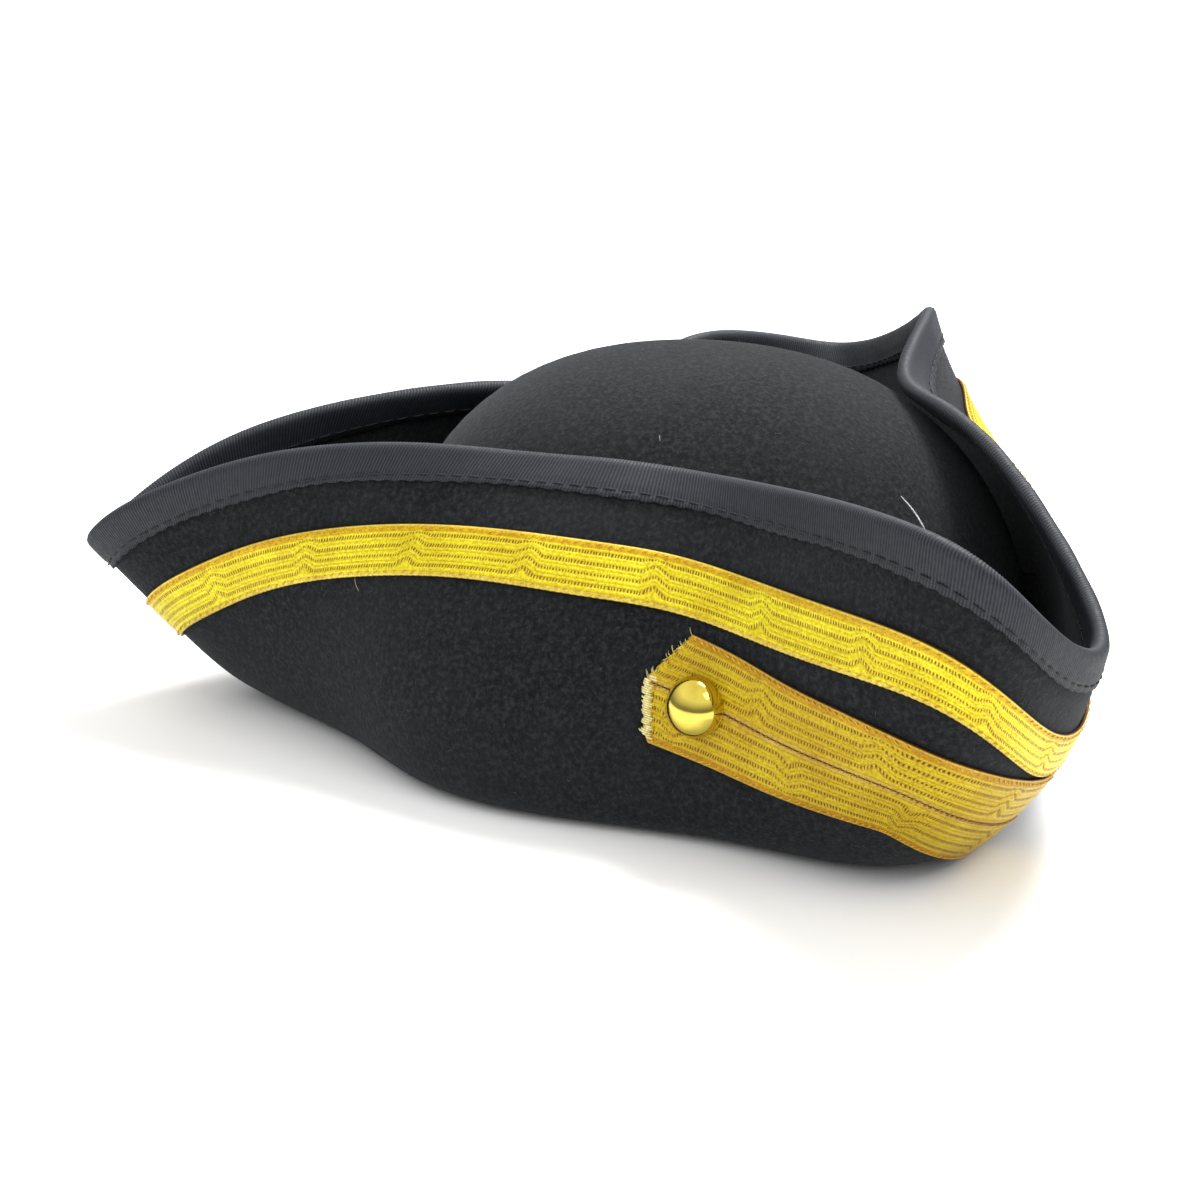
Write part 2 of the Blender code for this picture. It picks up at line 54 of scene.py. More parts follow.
# ---------------------------------------------------------------- the hat's sizes, as in the CAD

FELT = 2.6 * MM
GAP = 0.3 * MM
HEAD_CENTRE = np.array((6.1, 47.8, 0)) * MM
HEAD_HALF_LENGTH = 100 * MM
HEAD_HALF_WIDTH = 84 * MM
OPENING_FILLET = 4 * MM
CROWN_HEIGHT = 118 * MM
CROWN_STRAIGHT = 30 * MM
CROWN_LEAN = -0.07
CROWN_RISE_POWER = 1.9
CROWN_SIDE_POWER = 2.6

# Angle in degrees, then crease radius, rim radius and rim height in millimetres
STATIONS = (
    (0, 161, 207, 48),
    (4, 154, 197, 66),
    (11, 141, 151, 91),
    (23, 125, 108, 100),
    (42, 128, 75, 98),
    (65, 115, 71, 101),
    (88, 114, 67, 97),
    (106, 148, 195, 120),
    (121, 140, 174, 69),
    (137, 117, 154, 62),
    (158, 115, 81, 111),
    (180, 111, 53, 107),
    (202, 104, 69, 119),
    (223, 115, 104, 119),
    (239, 121, 148, 97),
    (254, 124, 210, 65),
    (272, 124, 141, 98),
    (295, 122, 84, 83),
    (318, 122, 80, 95),
    (337, 131, 110, 94),
    (349, 146, 167, 82),
    (356, 158, 197, 58),
)
FRONT_TIP = 0
LEFT_CORNER = 121
BACK_MIDDLE = 180
RIGHT_CORNER = 239
CORNER_REACH = 30
BACK_REACH = 45
CREASE_HEIGHT = 7 * MM
CREASE_LIFTS = ((FRONT_TIP, -2 * MM), (LEFT_CORNER, -6 * MM), (RIGHT_CORNER, 9 * MM))
CREASE_START = 0.72
RING = 10 * MM
SIDE_SWELL = 14 * MM
CORNER_SWELL = 3 * MM
TIP_SWELL = 0
BACK_SWELL = 24 * MM
SWELL_SHARES = ((0.38, 1.0), (0.72, 0.8))

BINDING_WIDTH = 11.5 * MM
RIBBON = 0.7 * MM
BINDING_SEAM = 9.5 * MM
BRAID_TOP = 26.5 * MM
BRAID_WIDTH = 16.6 * MM
BRAID = 1.1 * MM
SWEATBAND_BOTTOM = 5 * MM
SWEATBAND_HEIGHT = 24 * MM
SWEATBAND = 1.0 * MM

# Turn in stations and girth of the seam between the loop's two strips
LOOP_ROUTE = (
    (5.5, 63.4 * MM),
    (5.78, 64.8 * MM),
    (6.1, 66.2 * MM),
    (6.5, 69.2 * MM),
    (6.88, 72.6 * MM),
    (7.2, 73.8 * MM),
    (7.48, 72.2 * MM),
    (7.76, 68.4 * MM),
    (8.0, 65 * MM),
    (8.24, 62.8 * MM),
    (8.45, 61.6 * MM),
)

# Lift of the loop's underside over the brim braid's, its top, and how its front end is cut
LOOP_RAISE = 0.3 * MM
LOOP_TOP = GAP + BRAID + LOOP_RAISE
UPPER_CUT = 9.5 * MM
LOWER_CUT = 5.0 * MM
CORNER_CUT = 12 * MM

BUTTON_RADIUS = 8.8 * MM
BUTTON_HEIGHT = 6.6 * MM
BUTTON_BASE = 3.0 * MM
BUTTON_SINK = 0.9 * MM
BUTTON_WALL = 0.5 * MM
BUTTON_LIP = 0.45 * MM
SHANK_HOLE = 3.4 * MM
# How far along the shank, each way, the felt and the loop are opened for it
FELT_HOLE_REACH = 9 * MM
LOOP_HOLE_REACH = 6 * MM

# ---------------------------------------------------------------- finer sizes

FELT_COLUMNS = 440
BRIM_ROWS = 62
SHELF_ROWS = 5
FILLET_ROWS = 5
WALL_ROWS = 5
DOME_ROWS = 26
LOOKUP_PER_STATION = 16
LOOKUP_ROWS = 96
DOME_STEPS = 28
LIP_STEPS = 8
INSIDE_STEPS = 12
BUTTON_SIDES = 96
FUZZ_FIBRES = 4200

RIB_PITCH = 1.05 * MM
RIB_HEIGHT = 0.16 * MM
SAMPLES_PER_RIB = 4
STITCH_PITCH = 5.4 * MM
STITCH_RADIUS = 0.26 * MM
STITCH_BOW = 0.18 * MM

BRAID_STEP = 0.55 * MM
BRAID_LANES = 46
CHEVRON_PITCH = 39.5 * MM
CHEVRON_REACH = 4.6 * MM
CHEVRON_PEAK = 2.5 * MM
CHEVRON_FADE = 4.4 * MM
BRIM_CHEVRON_START = 20.8 * MM
LOOP_CHEVRON_STARTS = {"upper": 22 * MM, "lower": 9 * MM}
LOOP_PITCH = 0.95 * MM
SCALLOP = 0.2 * MM
SCALLOP_PITCH = 2.1 * MM
LOWER_SELVEDGE = 1.4 * MM
# From the braid's edges to its sewing threads, and to where a chevron may start
BRAID_MARGIN = 1.2 * MM

# Rows across the braid, from its upper selvedge: width in millimetres, then what it is
BRAID_ROWS = (
    (0.5, "pale"),
    (1.9, "selvedge"),
    (0.8, "cord"),
    (0.9, "loops"),
    (1.2, "cord"),
    (1.2, "cord"),
    (0.9, "loops"),
    (1.15, "cord"),
    (1.15, "cord"),
    (0.9, "loops"),
    (1.15, "cord"),
    (1.15, "cord"),
    (0.9, "loops"),
    (1.4, "cord"),
    (1.4, "pale"),
)
CORD_HEIGHT = {"pale": 0.22 * MM, "selvedge": 0.3 * MM, "cord": 0.38 * MM, "loops": 0.2 * MM}

# Slow unevenness of the whole hat: wavelength and size of each wave
WARPS = ((170 * MM, 0.45 * MM), (90 * MM, 0.3 * MM), (45 * MM, 0.16 * MM))


# ---------------------------------------------------------------- surface of the brim


def smooth_step(t):
    t = np.clip(t, 0, 1)
    return t * t * (3 - 2 * t)


def nearness(degrees, place, reach):
    """1 at the place, falling smoothly to 0 at its reach."""
    apart = abs((degrees - place + 180) % 360 - 180)
    return 1 - smooth_step(apart / reach)


def head_radius(angle):
    return 1 / np.hypot(np.sin(angle) / HEAD_HALF_WIDTH, np.cos(angle) / HEAD_HALF_LENGTH)


def station_rows(degrees, crease, rim, rise):
    """The cage of one station, from the head opening out to the rim, as (radius, height)."""
    head = head_radius(math.radians(degrees))
    crease, rim, rise = crease * MM, rim * MM, rise * MM
    low = CREASE_HEIGHT
    for place, lift in CREASE_LIFTS:
        low += lift * nearness(degrees, place, CORNER_REACH)
    swell = SIDE_SWELL
    for place, at_place, reach in (
        (FRONT_TIP, TIP_SWELL, CORNER_REACH),
        (LEFT_CORNER, CORNER_SWELL, CORNER_REACH),
        (RIGHT_CORNER, CORNER_SWELL, CORNER_REACH),
        (BACK_MIDDLE, BACK_SWELL, BACK_REACH),
    ):
        swell += (at_place - SIDE_SWELL) * nearness(degrees, place, reach)
    rows = [
        (head + OPENING_FILLET, 0),
        (head + RING, 0),
        (head + CREASE_START * (crease - head), 0),
        (crease, low),
    ]
    out = rim - crease
    up = rise - low
    slant = math.hypot(out, up)
    for along, share in SWELL_SHARES:
        across = share * swell / slant
        rows.append((crease + along * out + across * up, low + along * up - across * out))
    rows.append((rim, rise))
    return rows


def round_the_head(angle, radius, height):
    parts = np.broadcast_arrays(radius * np.sin(angle), -radius * np.cos(angle), height)
    return HEAD_CENTRE + np.stack(parts, axis=-1)


def brim_cage():
    """Cage points by station and row, with a mirrored row before the first and after the last."""
    cage = []
    for station in STATIONS:
        rows = np.array(station_rows(*station))
        points = round_the_head(math.radians(station[0]), rows[:, 0], rows[:, 1])
        before = 2 * points[:1] - points[1:2]
        after = 2 * points[-1:] - points[-2:-1]
        cage.append(np.concatenate([before, points, after]))
    return np.array(cage)


def spline_weights(t):
    return (
        (1 - t) ** 3 / 6,
        (3 * t**3 - 6 * t**2 + 4) / 6,
        (-3 * t**3 + 3 * t**2 + 3 * t + 1) / 6,
        t**3 / 6,
    )


def spline_slopes(t):
    return (
        -((1 - t) ** 2) / 2,
        (3 * t**2 - 4 * t) / 2,
        (-3 * t**2 + 2 * t + 1) / 2,
        t**2 / 2,
    )


def normalised(vectors):
    return vectors / np.maximum(np.linalg.norm(vectors, axis=-1, keepdims=True), 1e-12)


class Brim:
    """The outer face of the turned-up brim, by turn in stations and girth down from the rim."""

    def __init__(self):
        self.cage = brim_cage()
        self.last_row = self.cage.shape[1] - 3
        turns = np.arange(len(STATIONS) * LOOKUP_PER_STATION + 1) / LOOKUP_PER_STATION
        rows = np.linspace(self.last_row, 1, LOOKUP_ROWS)
        points = self.evaluate(turns[:, None], rows[None, :])[0]
        steps = np.linalg.norm(np.diff(points, axis=1), axis=2)
        girths = np.pad(np.cumsum(steps, axis=1), ((0, 0), (1, 0)))
        self.depths = girths[:, -1]
        self.girths = np.arange(0, self.depths.max(), MM)
        self.rows = np.array([np.interp(self.girths, girth, rows) for girth in girths])

    def evaluate(self, turn, row):
        """Points, and their slopes by turn and by row, which counts from the opening to the rim."""
        turn, row = np.broadcast_arrays(turn, row)
        first = np.floor(turn).astype(int)
        start = np.clip(np.floor(row).astype(int), 0, self.cage.shape[1] - 4)
        along, across = spline_weights(turn - first), spline_weights(row - start)
        along_slope, across_slope = spline_slopes(turn - first), spline_slopes(row - start)
        point, by_turn, by_row = 0, 0, 0
        for i in range(4):
            for j in range(4):
                corner = self.cage[(first - 1 + i) % len(self.cage), start + j]
                point = point + (along[i] * across[j])[..., None] * corner
                by_turn = by_turn + (along_slope[i] * across[j])[..., None] * corner
                by_row = by_row + (along[i] * across_slope[j])[..., None] * corner
        return point, by_turn, by_row

    def depth(self, turn):
        place = (turn % len(STATIONS)) * LOOKUP_PER_STATION
        return np.interp(place, np.arange(len(self.depths)), self.depths)

    def at(self, turn, girth):
        """Points and outward normals. Below 0 the girth runs straight on past the rim."""
        turn, girth = np.broadcast_arrays(turn, girth)
        place = (turn % len(STATIONS)) * LOOKUP_PER_STATION
        i = np.minimum(place.astype(int), self.rows.shape[0] - 2)
        down = np.clip(girth / MM, 0, self.rows.shape[1] - 1.001)
        j = down.astype(int)
        u, v = place - i, down - j
        row = (self.rows[i, j] * (1 - u) + self.rows[i + 1, j] * u) * (1 - v)
        row = row + (self.rows[i, j + 1] * (1 - u) + self.rows[i + 1, j + 1] * u) * v
        point, by_turn, by_row = self.evaluate(turn, row)
        past = np.maximum(-girth, 0)[..., None] * normalised(by_row)
        return point + past, normalised(np.cross(by_turn, by_row))

    def lifted(self, turn, girth, lift):
        point, normal = self.at(turn, girth)
        return point + normal * np.broadcast_to(lift, point.shape[:-1])[..., None]

    def even_turns(self, girth, count):
        """Turns at equal steps along one girth, one more than count, and their distances."""
        fine = np.linspace(0, len(STATIONS), 6001)
        points = self.at(fine, girth)[0]
        run = np.append(0, np.cumsum(np.linalg.norm(np.diff(points, axis=0), axis=1)))
        places = np.linspace(0, run[-1], count + 1)
        return np.interp(places, run, fine), places


def warp(points):
    """The hat's slow unevenness: all that lies together moves together."""
    waves = np.random.default_rng(3)
    moved = np.array(points, float)
    for length, size in WARPS:
        for _ in range(4):
            heading = normalised(waves.normal(size=3)) * math.tau / length
            phase = waves.uniform(0, math.tau)
            push = normalised(waves.normal(size=3)) * size * 0.5
            moved = moved + np.sin(points @ heading + phase)[..., None] * push
    return moved


# ---------------------------------------------------------------- meshes


def button_axis():
    """Where the button's shank goes through the flap, and its direction out of the felt."""
    joint = frame["joints"][0]
    return Vector(joint["pos_m"]), Vector(joint["axis"]).normalized()


def finish_piece(obj, body, nodes=()):
    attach(obj, body)
    if nodes:
        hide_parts(*nodes)
    return obj


def new_piece(name, points, faces, material):
    mesh = bpy.data.meshes.new(name)
    mesh.from_pydata(points, [], faces)
    mesh.polygons.foreach_set("use_smooth", np.ones(len(mesh.polygons), bool))
    mesh.materials.append(material)
    mesh.update()
    piece = bpy.data.objects.new(name, mesh)
    bpy.context.scene.collection.objects.link(piece)
    return piece


def grid_faces(rows, columns, around, across):
    """Corner numbers of a grid's cells; around joins its columns up, across its rows."""
    r = np.arange(rows if across else rows - 1)[:, None]
    c = np.arange(columns if around else columns - 1)[None, :]
    r2, c2 = (r + 1) % rows, (c + 1) % columns
    corners = [r * columns + c, r * columns + c2, r2 * columns + c2, r2 * columns + c]
    return np.stack(corners, axis=-1).reshape(-1, 4)


def set_lay(piece, lay, around, across):
    """Writes a grid's lengthwise and crosswise places, in metres, as its UV map."""
    rows, columns = lay.shape[0] - across, lay.shape[1] - around
    r = np.arange(rows if across else rows - 1)[:, None]
    c = np.arange(columns if around else columns - 1)[None, :]
    corners = [lay[r, c], lay[r, c + 1], lay[r + 1, c + 1], lay[r + 1, c]]
    layer = piece.data.uv_layers.new(name="lay")
    values = np.zeros((len(layer.data), 2))
    found = np.stack(corners, axis=-2).reshape(-1, 2)
    values[:len(found)] = found
    layer.data.foreach_set("uv", values.ravel())


def add_tone(piece, name, values):
    made = piece.data.attributes.new(name, "FLOAT", "POINT")
    full = np.zeros(len(piece.data.vertices))
    full[:values.size] = values.ravel()
    made.data.foreach_set("value", full)


def face_outwards(piece):
    work = bmesh.new()
    work.from_mesh(piece.data)
    bmesh.ops.recalc_face_normals(work, faces=work.faces)
    work.to_mesh(piece.data)
    work.free()


def grid_piece(name, points, material, around=False, across=False, lay=None, capped=False, poles=False):
    """A mesh over a grid of points, its two ends capped or its first and last rows drawn to poles."""
    rows, columns = points.shape[:2]
    faces = grid_faces(rows, columns, around, across).tolist()
    places = points.reshape(-1, 3)
    if capped:
        faces.append([r * columns for r in range(rows)])
        faces.append([r * columns + columns - 1 for r in range(rows)][::-1])
    if poles:
        places = np.concatenate([places, points[[0, -1]].mean(axis=1)])
        for row, pole in ((0, rows * columns), (rows - 1, rows * columns + 1)):
            start = row * columns
            faces.extend((start + c, start + (c + 1) % columns, pole) for c in range(columns))
    piece = new_piece(name, places, faces, material)
    if lay is not None:
        set_lay(piece, lay, around, across)
    face_outwards(piece)
    return piece


def tubes(name, lines, normals, radii, material, sides=5):
    """Many short threads in one mesh. lines is (threads, points, 3); radii is per point."""
    count, steps = lines.shape[:2]
    ahead = normalised(np.gradient(lines, axis=1))
    up = normals - ahead * np.sum(normals * ahead, axis=-1, keepdims=True)
    up = normalised(up)
    side = np.cross(ahead, up)
    angles = np.arange(sides) * math.tau / sides
    radii = np.broadcast_to(radii, (count, steps))[..., None, None]
    around = side[:, :, None] * np.cos(angles)[:, None] + up[:, :, None] * np.sin(angles)[:, None]
    rings = lines[:, :, None] + around * radii
    k = np.arange(count)[:, None, None] * steps * sides
    s = np.arange(steps - 1)[None, :, None] * sides
    a = np.arange(sides)[None, None, :]
    b = (a + 1) % sides
    quads = np.stack([k + s + a, k + s + b, k + s + sides + b, k + s + sides + a], axis=-1)
    faces = quads.reshape(-1, 4).tolist()
    starts = np.arange(count)[:, None] * steps * sides
    faces.extend((starts + np.arange(sides)[::-1]).tolist())
    faces.extend((starts + (steps - 1) * sides + np.arange(sides)).tolist())
    piece = new_piece(name, rings.reshape(-1, 3), faces, material)
    face_outwards(piece)
    return piece


# ---------------------------------------------------------------- materials


class Look:
    """A material's nodes, added one by one round its Principled shader."""

    def __init__(self, name, colour, **constants):
        self.material = bpy.data.materials.new(name)
        self.material.use_nodes = True
        self.tree = self.material.node_tree
        self.shader = self.tree.nodes["Principled BSDF"]
        self.shader.inputs["Base Color"].default_value = (*colour, 1)
        for socket, value in constants.items():
            self.shader.inputs[socket.replace("_", " ")].default_value = value
        self.material.diffuse_color = (*colour, 1)

    def add(self, kind, inputs=(), **settings):
        node = self.tree.nodes.new(kind)
        for key, value in settings.items():
            setattr(node, key, value)
        for key, value in dict(inputs).items():
            if isinstance(value, bpy.types.NodeSocket):
                self.tree.links.new(value, node.inputs[key])
            else:
                node.inputs[key].default_value = value
        return node

    def maths(self, operation, a, b=0.0):
        return self.add("ShaderNodeMath", {0: a, 1: b}, operation=operation).outputs[0]

    def noise(self, scale, detail=3.0, roughness=0.6, vector=None):
        inputs = {"Scale": scale, "Detail": detail, "Roughness": roughness}
        inputs["Vector"] = vector or self.places()
        return self.add("ShaderNodeTexNoise", inputs).outputs["Fac"]

    def places(self):
        return self.add("ShaderNodeTexCoord").outputs["Object"]

    def lay(self):
        """Lengthwise and crosswise place on a band, in metres."""
        split = self.add("ShaderNodeSeparateXYZ", {0: self.add("ShaderNodeUVMap", uv_map="lay").outputs[0]})
        return split.outputs[0], split.outputs[1]

    def tone(self, name):
        return self.add("ShaderNodeAttribute", attribute_name=name).outputs["Fac"]

    def ramp(self, value, *stops):
        """A colour or grey by value, from stops of (place, colour)."""
        node = self.add("ShaderNodeValToRGB", {0: value})
        marks = node.color_ramp.elements
        while len(marks) < len(stops):
            marks.new(0.5)
        for mark, (place, colour) in zip(marks, stops):
            mark.position = place
            mark.color = (*colour, 1) if isinstance(colour, tuple) else (colour, colour, colour, 1)
        return node.outputs[0]

    def mix(self, share, a, b, blend="MIX"):
        node = self.add("ShaderNodeMix", data_type="RGBA", blend_type=blend)
        for socket, value in ((node.inputs[0], share), (node.inputs[6], a), (node.inputs[7], b)):
            if isinstance(value, bpy.types.NodeSocket):
                self.tree.links.new(value, socket)
            elif isinstance(value, tuple):
                socket.default_value = (*value, 1)
            else:
                socket.default_value = value
        return node.outputs[2]

    def bump(self, height, distance, strength=1.0, before=None):
        inputs = {"Height": height, "Distance": distance, "Strength": strength}
        if before:
            inputs["Normal"] = before
        return self.add("ShaderNodeBump", inputs).outputs[0]

    def finish(self, colour=None, roughness=None, normal=None):
        for socket, value in (("Base Color", colour), ("Roughness", roughness), ("Normal", normal)):
            if value:
                self.tree.links.new(value, self.shader.inputs[socket])
        return self.material


def felt_look():
    look = Look("black_wool_felt", (0.01, 0.01, 0.011), Roughness=0.95, Sheen_Weight=0.1)
    look.shader.inputs["Sheen Roughness"].default_value = 0.5
    look.shader.inputs["Sheen Tint"].default_value = (0.8, 0.85, 0.9, 1)
    look.shader.inputs["Specular IOR Level"].default_value = 0.12
    broad = look.noise(28, 2)
    matted = look.noise(640, 4, 0.7)
    fuzz = look.noise(1700, 3, 0.7)
    dark = look.ramp(
        matted,
        (0.34, (0.002, 0.0022, 0.0026)),
        (0.5, (0.0085, 0.0092, 0.0105)),
        (0.66, (0.022, 0.0238, 0.0265)),
    )
    worn = look.mix(look.ramp(broad, (0.35, 0.0), (0.75, 0.35)), dark, (0.018, 0.019, 0.020))
    fibre = look.ramp(look.noise(900, 2, 0.5), (0.66, 0.0), (0.76, 0.45))
    colour = look.mix(fibre, worn, (0.042, 0.044, 0.047))
    coarse = look.bump(matted, 0.5 * MM, 0.6)
    return look.finish(colour, None, look.bump(fuzz, 0.25 * MM, 0.7, coarse))


def grosgrain_look():
    look = Look("slate_grosgrain", (0.015, 0.017, 0.021), Sheen_Weight=0.05, Sheen_Roughness=0.35)
    look.shader.inputs["Specular IOR Level"].default_value = 0.35
    along, _ = look.lay()
    # Painted highlight on the rib crests and painted shade between the ribs, in step with the ribs' shape;
    # the fine noise adds random tone.
    rib_crest_highlight = look.maths("COSINE", look.maths("MULTIPLY", along, math.tau / RIB_PITCH))
    fine = look.noise(1500, 2)
    shade = look.maths("ADD", look.maths("MULTIPLY", rib_crest_highlight, 0.42), look.maths("MULTIPLY", fine, 0.7))
    colour = look.ramp(
        shade,
        (0.0, (0.005, 0.006, 0.009)),
        (0.35, (0.012, 0.014, 0.018)),
        (0.7, (0.030, 0.035, 0.045)),
    )
    patchy = look.mix(look.ramp(look.noise(35, 2), (0.4, 0.0), (0.7, 0.3)), colour, (0.018, 0.021, 0.028))
    rough = look.ramp(look.noise(600, 2), (0.3, 0.5), (0.7, 0.68))
    return look.finish(patchy, rough, look.bump(fine, 0.12 * MM, 0.6))


def braid_look(name, darkening_tint):
    """Gold braid, with painted shade in the gaps between its rows and beads and a painted highlight on their
    tops. The last argument is a colour that the whole braid's colour is multiplied by, to make it darker.
    """
    look = Look(name, (0.8, 0.6, 0.03), Metallic=0.35)
    look.shader.inputs["Specular IOR Level"].default_value = 0.3
    along, across = look.lay()
    cord, loops = look.tone("cord"), look.tone("loops")
    selvedge, pale = look.tone("selvedge"), look.tone("pale")
    jitter = look.maths("MULTIPLY", look.noise(260, 2), 1.4 * MM)
    run = look.maths("ADD", along, jitter)
    # Painted highlight on the loop beads and painted shade between them, at the loop pitch, shifted a little
    # by noise.
    bead = look.maths("COSINE", look.maths("MULTIPLY", run, math.tau / LOOP_PITCH))
    bead = look.ramp(look.maths("ADD", look.maths("MULTIPLY", bead, 0.5), 0.5), (0.25, 0.0), (0.7, 1.0))
    # Painted shade in the dark brown gaps between the braid's rows and a painted highlight on their tops, by
    # each row's rounded top.
    gold = look.ramp(
        cord,
        (0.08, (0.20, 0.085, 0.003)),
        (0.34, (0.72, 0.54, 0.010)),
        (0.8, (0.97, 0.92, 0.028)),
    )
    bead_light_and_shade = look.mix(bead, (0.20, 0.075, 0.004), (0.95, 0.84, 0.07))
    mottled = look.mix(look.noise(700, 3, 0.7), (0.60, 0.32, 0.008), (0.97, 0.76, 0.025))
    colour = look.mix(look.maths("MULTIPLY", loops, 0.92), gold, bead_light_and_shade)
    colour = look.mix(selvedge, colour, mottled)
    colour = look.mix(look.maths("MULTIPLY", pale, 0.75), colour, (0.90, 0.78, 0.22))
    tint = look.ramp(look.noise(60, 2), (0.3, (0.84, 0.76, 0.55)), (0.65, (1.0, 1.0, 1.0)))
    colour = look.mix(1.0, colour, tint, "MULTIPLY")
    glint = look.ramp(look.noise(1300, 3, 0.8), (0.36, (0.66, 0.58, 0.40)), (0.56, (1.0, 1.0, 1.0)))
    colour = look.mix(1.0, colour, glint, "MULTIPLY")
    colour = look.mix(1.0, colour, darkening_tint, "MULTIPLY")
    twist = look.maths("ADD", look.maths("MULTIPLY", along, 1900), look.maths("MULTIPLY", across, 1500))
    strand = look.maths("SINE", look.maths("MULTIPLY", twist, math.tau))
    rough = look.ramp(look.noise(900, 2), (0.3, 0.32), (0.7, 0.52))
    height = look.maths("ADD", look.maths("MULTIPLY", strand, 0.35), look.noise(1800, 2))
    return look.finish(colour, rough, look.bump(height, 0.12 * MM, 0.5))


def thread_look(name, dark, light, roughness):
    look = Look(name, light, Roughness=roughness)
    colour = look.ramp(look.noise(1400, 2), (0.3, dark), (0.7, light))
    return look.finish(colour, None, look.bump(look.noise(2500, 2), 0.08 * MM, 0.5))


def sweatband_look():
    look = Look("black_cotton_twill", (0.025, 0.025, 0.028), Roughness=0.85, Sheen_Weight=0.1)
    along, across = look.lay()
    slant = look.maths("MULTIPLY", look.maths("ADD", along, across), math.tau / (0.7 * MM))
    twill = look.maths("SINE", slant)
    shade = look.maths("ADD", look.maths("MULTIPLY", twill, 0.25), look.noise(500, 3))
    colour = look.ramp(shade, (0.2, (0.010, 0.010, 0.011)), (0.8, (0.042, 0.042, 0.046)))
    return look.finish(colour, None, look.bump(shade, 0.15 * MM, 0.6))


def brass_look():
    look = Look("polished_brass", (0.80, 0.58, 0.13), Metallic=1.0)
    haze = look.noise(90, 3)
    colour = look.ramp(haze, (0.3, (0.58, 0.44, 0.06)), (0.7, (0.76, 0.63, 0.12)))
    rough = look.ramp(look.noise(700, 3, 0.7), (0.35, 0.07), (0.75, 0.16))
    return look.finish(colour, rough, look.bump(look.noise(220, 2), 0.05 * MM, 0.2))


# ---------------------------------------------------------------- felt


def crown_rows():
    """Radius share of the head oval, inset and height of the crown's inside, going up."""
    rows = []
    for k in range(FILLET_ROWS):
        turn = math.pi / 2 * (1 - (k + 1) / FILLET_ROWS)
        spread = OPENING_FILLET * (1 - math.cos(turn))
        rows.append((1.0, spread, OPENING_FILLET * (1 - math.sin(turn))))
    for k in range(1, WALL_ROWS + 1):
        rows.append((1.0, 0.0, OPENING_FILLET + (CROWN_STRAIGHT - OPENING_FILLET) * k / WALL_ROWS))
    dome = CROWN_HEIGHT - FELT - CROWN_STRAIGHT
    for k in range(1, DOME_ROWS):
        turn = math.pi / 2 * math.sin(math.pi / 2 * k / DOME_ROWS)
        share = math.cos(turn) ** (2 / CROWN_SIDE_POWER)
        rows.append((share, 0.0, CROWN_STRAIGHT + dome * math.sin(turn) ** (2 / CROWN_RISE_POWER)))
    return rows


def outer_face(brim):
    """Grid over the outer face: from the rim in to the opening, and up the crown's inside."""
    turns = np.arange(FELT_COLUMNS) * len(STATIONS) / FELT_COLUMNS
    depth = brim.depth(turns)
    rows = [brim.at(turns, depth * k / BRIM_ROWS)[0] for k in range(BRIM_ROWS + 1)]
    for k in range(1, SHELF_ROWS + 1):
        rows.append(brim.evaluate(turns, np.full(FELT_COLUMNS, 1 - k / SHELF_ROWS))[0])
    flat = rows[-1] - HEAD_CENTRE
    angles = np.arctan2(flat[:, 0], -flat[:, 1])
    for share, spread, height in crown_rows():
        row = round_the_head(angles, share * head_radius(angles) + spread, height)
        rows.append(row + np.array((0, CROWN_LEAN * height, 0)))
    return np.array(rows)


def grid_normals(grid):
    """Normals of a grid whose columns join up, out of the outer face."""
    by_column = np.roll(grid, -1, axis=1) - np.roll(grid, 1, axis=1)
    by_row = -np.gradient(grid, axis=0)
    return normalised(np.cross(by_column, by_row))


def felt_normals(face):
    """Normals of the outer face, which looks straight down all round the head opening."""
    normals = grid_normals(face)
    ring = normals[BRIM_ROWS - 2:BRIM_ROWS + SHELF_ROWS + 2]
    ring[ring[..., 2] > -0.2] = (0, 0, -1)
    return normals


def pierce(piece, centre, axis, radius, depth):
    """Opens a round hole through a piece and joins its two faces round the hole."""
    work = bmesh.new()
    work.from_mesh(piece.data)

    def apart(vert):
        away = vert.co - centre
        along = away.dot(axis)
        return along, away - axis * along

    inside = []
    for vert in work.verts:
        along, across = apart(vert)
        if abs(along) < depth and across.length < radius:
            inside.append(vert)
    bmesh.ops.delete(work, geom=inside, context="VERTS")
    edges = [edge for edge in work.edges if edge.is_boundary]
    for vert in {vert for edge in edges for vert in edge.verts}:
        along, across = apart(vert)
        vert.co = centre + axis * along + across.normalized() * radius
    bmesh.ops.bridge_loops(work, edges=edges)
    bmesh.ops.recalc_face_normals(work, faces=work.faces)
    for face in work.faces:
        face.smooth = True
    work.to_mesh(piece.data)
    work.free()


def add_felt(face, normals, material):
    outer = warp(face)
    inner = warp(face - normals * FELT)
    edge = warp(face[0] - normals[0] * FELT / 2 + normalised(face[0] - face[1]) * FELT * 0.3)
    grid = np.concatenate([inner[::-1], edge[None], outer])
    piece = grid_piece("felt_hat", grid, material, around=True, poles=True)
    pierce(piece, *button_axis(), SHANK_HOLE, FELT_HOLE_REACH)
    return finish_piece(piece, "hat", ["felt_body"])


# ---------------------------------------------------------------- ribbon over the rim


def ribbon_section():
    """The folded ribbon's middle line as (girth, lift), with the direction that it faces."""
    shoulder = 0.8 * MM
    rise = GAP + RIBBON / 2
    bend = FELT / 2 + rise
    section = []
    for k in range(9):
        section.append((BINDING_WIDTH + (shoulder - BINDING_WIDTH) * k / 9, rise, 0.0, 1.0))
    for k in range(6):
        turn = math.pi * k / 5
        section.append((
            shoulder - bend * math.sin(turn),
            bend * math.cos(turn) - FELT / 2,
            -math.sin(turn),
            math.cos(turn),
        ))
    for k in range(1, 6):
        section.append((shoulder + (BINDING_WIDTH - shoulder) * k / 5, -FELT - rise, 0.0, -1.0))
    return np.array(section)


